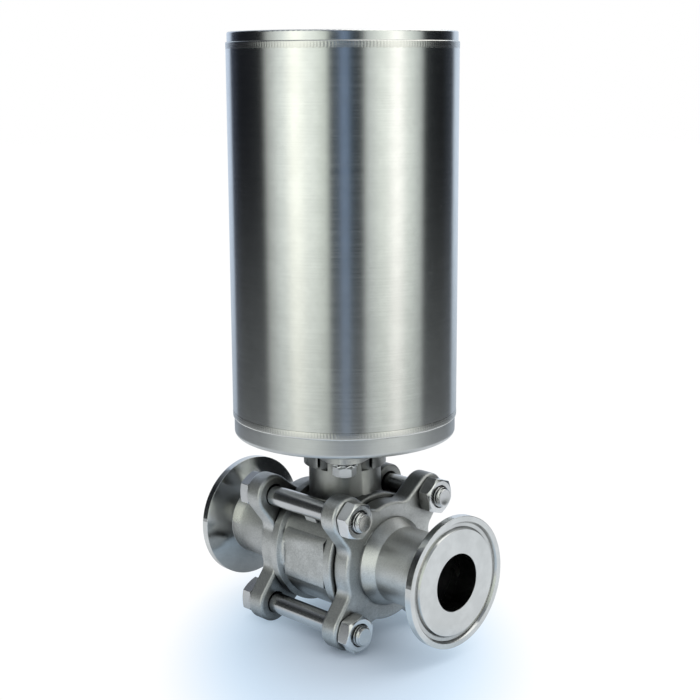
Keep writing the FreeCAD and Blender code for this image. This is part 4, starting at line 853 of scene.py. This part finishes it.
def body_of(node):
    """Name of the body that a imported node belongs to."""
    bodies = frame["record"]["behaviour"]["bodies"]
    return next(body for body, nodes in bodies.items() if node in nodes)


def read_array(items, name, width, kind=float):
    """One attribute of all of a mesh's items, as the rows of an array."""
    values = np.empty(len(items) * width, kind)
    items.foreach_get(name, values)
    return values.reshape(-1, width)


def true_cylinder(piece):
    """Gives round sides about the stem's axis and flat ends their true normals.

    Where a corner's face is level and within ROUND_LEAN of the direction from the axis, the
    corner's normal is that direction. Where its face looks straight up or down, the normal is
    the face's own. Every other corner keeps its shaded normal.
    """
    piece.modifiers.clear()
    mesh = piece.data
    normals = read_array(mesh.corner_normals, "vector", 3)
    vertex = read_array(mesh.loops, "vertex_index", 1, int)[:, 0]
    sides = read_array(mesh.polygons, "loop_total", 1, int)[:, 0]
    faces = np.repeat(read_array(mesh.polygons, "normal", 3), sides, axis=0)
    away = read_array(mesh.vertices, "co", 3)[vertex] * (1.0, 1.0, 0.0)
    away /= np.maximum(np.linalg.norm(away, axis=1, keepdims=True), 1e-9)
    lean = np.sum(faces * away, axis=1)
    level = (np.abs(faces[:, 2]) < 0.02) & (np.abs(lean) > math.cos(ROUND_LEAN))
    normals[level] = away[level] * np.sign(lean[level])[:, None]
    flat = np.abs(faces[:, 2]) > 0.9999
    normals[flat] = faces[flat]
    mesh.normals_split_custom_set(normals)
    return piece


def dress_node(node, finish=None, angle=26.0):
    """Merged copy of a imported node, shaded smooth up to an angle, that stands for the node.

    Its material is its slot's own, or another finish.
    """
    mesh = frame["nodes"][node].data.copy()
    mesh.name = node + "_skin"
    piece = new_object(node + "_skin", weld(mesh, outwards=False))
    slot = slot_of(node)
    finish_piece(piece, body_of(node), material_of(finish or slot), angle, (node,))
    even = piece.modifiers.new("Even shading", "WEIGHTED_NORMAL")
    even.keep_sharp = True
    return piece


def squash_spring(piece):
    """Gives a return spring its own copy of its mesh."""
    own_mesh(piece)


def along_pipe(start, across, up, turn):
    """Placement of a fastener drawn along +Z: along the pipe from start, turned about itself."""
    return (Matrix.Translation(BALL_CENTRE + Vector((start, across, up)) * MM)
            @ Matrix.Rotation(math.pi / 2, 4, "Y") @ Matrix.Rotation(math.radians(turn), 4, "Z"))


# Operators, one for each piece or group of like pieces

class MakeCastings(bpy.types.Operator):
    """Centre body with its bolt eye, and both end caps, as blasted castings"""

    bl_idname = "valve.castings"
    bl_label = "Castings"

    def execute(self, context):
        for node in ("valve_body", "end_cap_left", "end_cap_right"):
            dress_node(node, angle=15.0)
        for name, shape, side, finish in (("body_eye_skin", cast_eye(), 1, "cast_steel"),
                                          ("body_stub_skin", cast_stub(), -1, "plated_steel")):
            part = placed(shape, along_pipe(0, side * BOLT_OFFSET, BOLT_OFFSET, -45 * side))
            new_piece(name, [part], "housing", material_of(finish), 30.0)
        return {"FINISHED"}


class MakeActuatorShell(bpy.types.Operator):
    """Tube, covers and welds of the actuator"""

    bl_idname = "valve.actuator_shell"
    bl_label = "Actuator shell"

    def execute(self, context):
        for node, finish in (("actuator_tube", None), ("top_cover", "top_steel"),
                             ("bottom_cover", "cover_steel"), ("breather_plug", None)):
            true_cylinder(dress_node(node, finish))
        shape = context.scene.valve_shape
        lift = Matrix.Translation(BALL_CENTRE)
        ripple = shape.weld_ripple / MM
        beads = [placed(weld_bead(end, way, ripple, shape.weld_scales), lift)
                 for end, way in WELDS]
        new_piece("weld_beads_skin", beads, "housing", material_of("weld"), 60.0,
                  ("weld_beads",))
        return {"FINISHED"}


class MakeFasteners(bpy.types.Operator):
    """Through bolts, nuts, mounting bolts and their lock washers"""

    bl_idname = "valve.fasteners"
    bl_label = "Fasteners"

    def execute(self, context):
        bolt = through_bolt(context.scene.valve_shape.thread_pitch / MM)
        bolts, nuts, heads, washers = [], [], [], []
        for (side, level), turn in NUT_TURNS.items():
            across, up = side * BOLT_OFFSET, level * BOLT_OFFSET
            bolts.append(placed(bolt, along_pipe(-FLANGE_OUT, across, up, 0)))
            nuts.append(placed(hex_nut(), along_pipe(FLANGE_OUT, across, up, turn)))
        for angle, turn in PAD_HEAD_TURNS.items():
            spot = Matrix.Rotation(math.radians(angle), 4, "Z") @ Vector((PAD_CIRCLE * MM, 0, 0))
            place = Matrix.Translation(BALL_CENTRE + spot + Vector((0, 0, PAD_HEAD_TOP * MM)))
            turned_by = place @ Matrix.Rotation(math.radians(turn), 4, "Z")
            heads.append(placed(mounting_bolt(), turned_by))
            washers.append(placed(tooth_washer(), turned_by))
        for node, parts, finish in (
                ("body_bolts", bolts, "fastener_steel"), ("body_nuts", nuts, "nut_steel"),
                ("mounting_bolts", heads, "plated_steel"),
                ("lock_washers", washers, "plated_steel")):
            new_piece(node + "_skin", parts, "housing", material_of(finish),
                      24.0, (node,))
        return {"FINISHED"}


class MakeInnerPieces(bpy.types.Operator):
    """Ball, seats, stem, piston, cam shaft and the other pieces held inside"""

    bl_idname = "valve.inner_pieces"
    bl_label = "Inner pieces"

    def execute(self, context):
        replaced = {piece.name[:-5] for piece in bpy.data.objects if piece.name.endswith("_skin")}
        for node in sorted(set(frame["nodes"]) - replaced):
            piece = dress_node(node)
            if node in SPRINGS:
                squash_spring(piece)
        return {"FINISHED"}


# Stage: floor, world, lamp and camera

SENSOR_WIDE = 36.0


def make_camera(stage):
    """Camera at the photograph's place; its roll leans the level direction to the upright one."""
    back = Vector((math.sin(stage.azimuth) * math.cos(stage.elevation),
                   -math.cos(stage.azimuth) * math.cos(stage.elevation),
                   math.sin(stage.elevation)))
    level = Vector((math.cos(stage.azimuth), math.sin(stage.azimuth), 0.0))
    right = level * math.cos(stage.roll) + back.cross(level) * math.sin(stage.roll)
    aim = BALL_CENTRE + level * stage.aim_right + Vector((0, 0, stage.aim_up))
    data = bpy.data.cameras.new("Camera")
    data.lens = stage.lens
    data.sensor_width = SENSOR_WIDE
    data.clip_start = 0.01
    camera = new_object("Camera", data)
    turn = Matrix((right, back.cross(right), back)).transposed().to_4x4()
    camera.matrix_world = Matrix.Translation(aim + back * stage.distance) @ turn
    bpy.context.scene.camera = camera


# Studio as the metal sees it: angle from the camera's azimuth in degrees, then colour as a share
# of STUDIO_PEAK.
STUDIO_PEAK = 1.6
STUDIO_BANDS = (
    (-180, (0.50, 0.55, 0.62)),
    (-147, (0.40, 0.47, 0.58)),
    (-139, (0.03, 0.035, 0.05)),
    (-118, (0.005, 0.006, 0.008)),
    (-86, (0.007, 0.008, 0.010)),
    (-76, (0.36, 0.38, 0.37)),
    (-62, (0.60, 0.64, 0.62)),
    (-47, (0.98, 1.00, 0.92)),
    (-32, (0.72, 0.76, 0.72)),
    (-17, (0.52, 0.56, 0.52)),
    (-11, (0.04, 0.05, 0.06)),
    (-5, (0.045, 0.058, 0.075)),
    (0, (0.14, 0.19, 0.28)),
    (4, (0.12, 0.17, 0.25)),
    (9, (0.03, 0.04, 0.05)),
    (17, (0.02, 0.024, 0.028)),
    (25, (0.46, 0.49, 0.48)),
    (40, (0.66, 0.70, 0.66)),
    (54, (1.00, 1.00, 0.96)),
    (68, (0.58, 0.62, 0.59)),
    (80, (0.38, 0.41, 0.40)),
    (88, (0.010, 0.012, 0.014)),
    (112, (0.006, 0.007, 0.008)),
    (134, (0.03, 0.035, 0.045)),
    (146, (0.44, 0.51, 0.60)),
    (180, (0.50, 0.55, 0.62)),
)
# Above and below the bands: tone, sines of the height over which it comes in, and its share.
STUDIO_ENDS = (((0.24, 0.26, 0.29), (0.50, 0.95), 1.0),
               ((0.15, 0.16, 0.165), (-0.04, -0.34), 0.62))
ROOM_COLOUR = (0.93, 0.96, 1.0)


def ray_masks(tree):
    """Mask of the camera's own rays, and mask of the rays that metal and glass send out."""
    path = tree.nodes.new("ShaderNodeLightPath").outputs
    return path["Is Camera Ray"], maths(tree, "ADD", path["Is Glossy Ray"],
                                        path["Is Transmission Ray"], clamp=True)


def mixed_shaders(tree, share, first, second):
    """Shader that goes from the first to the second with a share."""
    return fed_in_order(tree, "ShaderNodeMixShader", None, (share, first, second))[0]


def background(tree, colour, strength):
    """Background shader of the world."""
    return add_node(tree, "ShaderNodeBackground", Color=colour, Strength=strength).outputs[0]


def make_world(stage):
    """White background for the camera, an even light, and the studio's bands for the metal."""
    world = bpy.data.worlds.new("Studio")
    world.use_nodes = True
    tree = world.node_tree
    tree.nodes.clear()
    direction = tree.nodes.new("ShaderNodeTexCoord").outputs["Generated"]
    turn = add_node(tree, "ShaderNodeVectorRotate", {"rotation_type": "Z_AXIS"},
                    Vector=direction, Angle=math.pi / 2 - stage.azimuth)
    x, y, z = split_axes(tree, turn.outputs[0])
    share = maths(tree, "MULTIPLY_ADD", maths(tree, "ARCTAN2", y, x), 0.5 / math.pi, 0.5)
    ramp = add_node(tree, "ShaderNodeValToRGB", Fac=share)
    ramp.color_ramp.interpolation = "EASE"
    stops = ramp.color_ramp.elements
    while len(stops) < len(STUDIO_BANDS):
        stops.new(0.5)
    for stop, (degrees, colour) in zip(stops, STUDIO_BANDS):
        stop.position = degrees / 360 + 0.5
        stop.color = (*colour, 1.0)
    seen = ramp.outputs["Color"]
    for tone, fade, most in STUDIO_ENDS:
        seen = blend_colours(tree, mapped(tree, z, *fade, 0.0, most), seen, tone)
    camera, shiny = ray_masks(tree)
    lit = mixed_shaders(tree, shiny, background(tree, ROOM_COLOUR, stage.room_light),
                        background(tree, seen, STUDIO_PEAK))
    shown = mixed_shaders(tree, camera, lit, background(tree, (1, 1, 1), 1.0))
    add_node(tree, "ShaderNodeOutputWorld", Surface=shown)
    bpy.context.scene.world = world


# Floor, in metres: half its side, the middle of the blue oval of painted shadow at the valve's
# foot, where the oval fades out, and where metal stops seeing the floor.
FLOOR_HALF = 3.0
FLOOR_CENTRE = (0.021, -0.020, 0.0)
FLOOR_FADE = (0.034, 0.076)
FLOOR_MIRRORED = (0.20, 0.34)
# The oval's length over its width, the way it lies, its painted blue shadow tone and the white
# beyond it.
FLOOR_STRETCH = 1.7
FLOOR_TURN = math.radians(-45)
FLOOR_SHADE_TINT = (0.74, 0.93, 1.12)
FLOOR_FAR = (1.02, 1.02, 1.02)
# Share of the floor's own glow in the oval's middle and at its rim, and the distances for them; the
# glow is painted light that keeps shadows on the floor pale.
FLOOR_GLOW = (0.10, 0.62)
FLOOR_GLOW_FADE = (0.005, 0.055)
# The same share as metal sees it, so the painted glow shows in its reflections.
FLOOR_SHEEN = 0.55
# Soft lamp over and behind the valve: place, point it faces, side in metres, watts, colour.
LAMP_PLACE = Vector((0.15, 0.55, 1.1))
LAMP_AIM = Vector((0, 0, 0.05))
LAMP_SIDE = 1.4
LAMP_POWER = 8.0
LAMP_COLOUR = (1.0, 0.99, 0.96)


def floor_material(stage):
    """Floor with painted pale blue shadow near the valve, that turns white away from it.

    It glows a little, painted light that keeps the shadows on it pale. Metal sees only the part
    near the valve, and the studio's bands beyond it. From below the floor is clear.
    """
    material, tree, shader, position = new_material(
        "Floor", 0.0, Base_Color=stage.floor_colour, Roughness=0.8, Specular_IOR_Level=0.0)
    # Oval of painted blue shadow at the valve's foot.
    oval = add_node(tree, "ShaderNodeMapping", {"vector_type": "TEXTURE"}, Vector=position,
                    Location=FLOOR_CENTRE, Rotation=(0.0, 0.0, FLOOR_TURN),
                    Scale=(FLOOR_STRETCH, 1.0, 1.0))
    reach = vector_maths(tree, "LENGTH", oval.outputs["Vector"])["Value"]
    away = vector_maths(tree, "LENGTH", position)["Value"]
    far = mapped(tree, reach, *FLOOR_FADE)
    beyond = mapped(tree, away, *FLOOR_MIRRORED)
    near = mapped(tree, reach, *FLOOR_GLOW_FADE, *FLOOR_GLOW)
    camera, shiny = ray_masks(tree)
    seen = maths(tree, "MULTIPLY_ADD", far, opposite(tree, near), near)
    share = maths(tree, "MULTIPLY_ADD", shiny, FLOOR_SHEEN,
                  times(tree, seen, camera), clamp=True)
    # Glow: painted light and painted blue shadow tone near the valve; the white beyond is the
    # backdrop.
    glow = add_node(tree, "ShaderNodeEmission", Strength=1.0,
                    Color=blend_colours(tree, far, FLOOR_SHADE_TINT, FLOOR_FAR)).outputs[0]
    clear = tree.nodes.new("ShaderNodeBsdfTransparent").outputs[0]
    below = tree.nodes.new("ShaderNodeNewGeometry").outputs["Backfacing"]
    shown = mixed_shaders(tree, share, shader.outputs[0], glow)
    for mask in (times(tree, beyond, shiny), below):
        shown = mixed_shaders(tree, mask, shown, clear)
    feed(tree.nodes["Material Output"].inputs["Surface"], shown)
    return material


def add_lamp():
    """Square soft lamp that faces the valve."""
    data = bpy.data.lights.new("overhead", "AREA")
    data.shape = "SQUARE"
    data.size = LAMP_SIDE
    data.energy = LAMP_POWER
    data.color = LAMP_COLOUR
    lamp = new_object("overhead", data)
    lamp.location = LAMP_PLACE
    lamp.rotation_euler = (LAMP_AIM - LAMP_PLACE).to_track_quat("-Z", "Y").to_euler()


class MakeStage(bpy.types.Operator):
    """Floor, studio light and camera"""

    bl_idname = "valve.stage"
    bl_label = "Stage"

    def execute(self, context):
        stage = context.scene.valve_stage
        corners = np.array([[-1, -1, 0], [1, -1, 0], [1, 1, 0], [-1, 1, 0]]) * FLOOR_HALF
        sheet = new_mesh("floor", [(corners, np.array([[0, 1, 2, 3]]))])
        floor = new_object("floor", sheet)
        sheet.materials.append(floor_material(stage))
        make_world(stage)
        make_camera(stage)
        add_lamp()
        context.scene.view_settings.view_transform = "Standard"
        return {"FINISHED"}


class ValvePanel(bpy.types.Panel):
    """Buttons for every group of pieces and the stage"""

    bl_idname = "VALVE_PT_pieces"
    bl_label = "Ball valve"
    bl_space_type = "VIEW_3D"
    bl_region_type = "UI"
    bl_category = "Ball valve"

    def draw(self, context):
        for group in SETTINGS:
            settings = getattr(context.scene, group)
            for name in settings.__annotations__:
                self.layout.prop(settings, name)
        for operator in OPERATORS:
            self.layout.operator(operator.bl_idname)


SETTINGS = {"valve_finish": FinishSettings, "valve_shape": ShapeSettings,
            "valve_stage": StageSettings}
OPERATORS = (MakeCastings, MakeActuatorShell, MakeFasteners, MakeInnerPieces, MakeStage)


def register():
    """Registers the settings, operators and panel."""
    for name, settings in SETTINGS.items():
        bpy.utils.register_class(settings)
        setattr(bpy.types.Scene, name, bpy.props.PointerProperty(type=settings))
    for item in (*OPERATORS, ValvePanel):
        bpy.utils.register_class(item)


def unregister():
    """Takes the classes and settings away again."""
    for item in (ValvePanel, *reversed(OPERATORS)):
        bpy.utils.unregister_class(item)
    for name, settings in SETTINGS.items():
        delattr(bpy.types.Scene, name)
        bpy.utils.unregister_class(settings)


def main():
    """Makes every piece and the stage."""
    register()
    for operator in OPERATORS:
        group, name = operator.bl_idname.split(".")
        getattr(getattr(bpy.ops, group), name)()


if __name__ == "__main__":
    main()
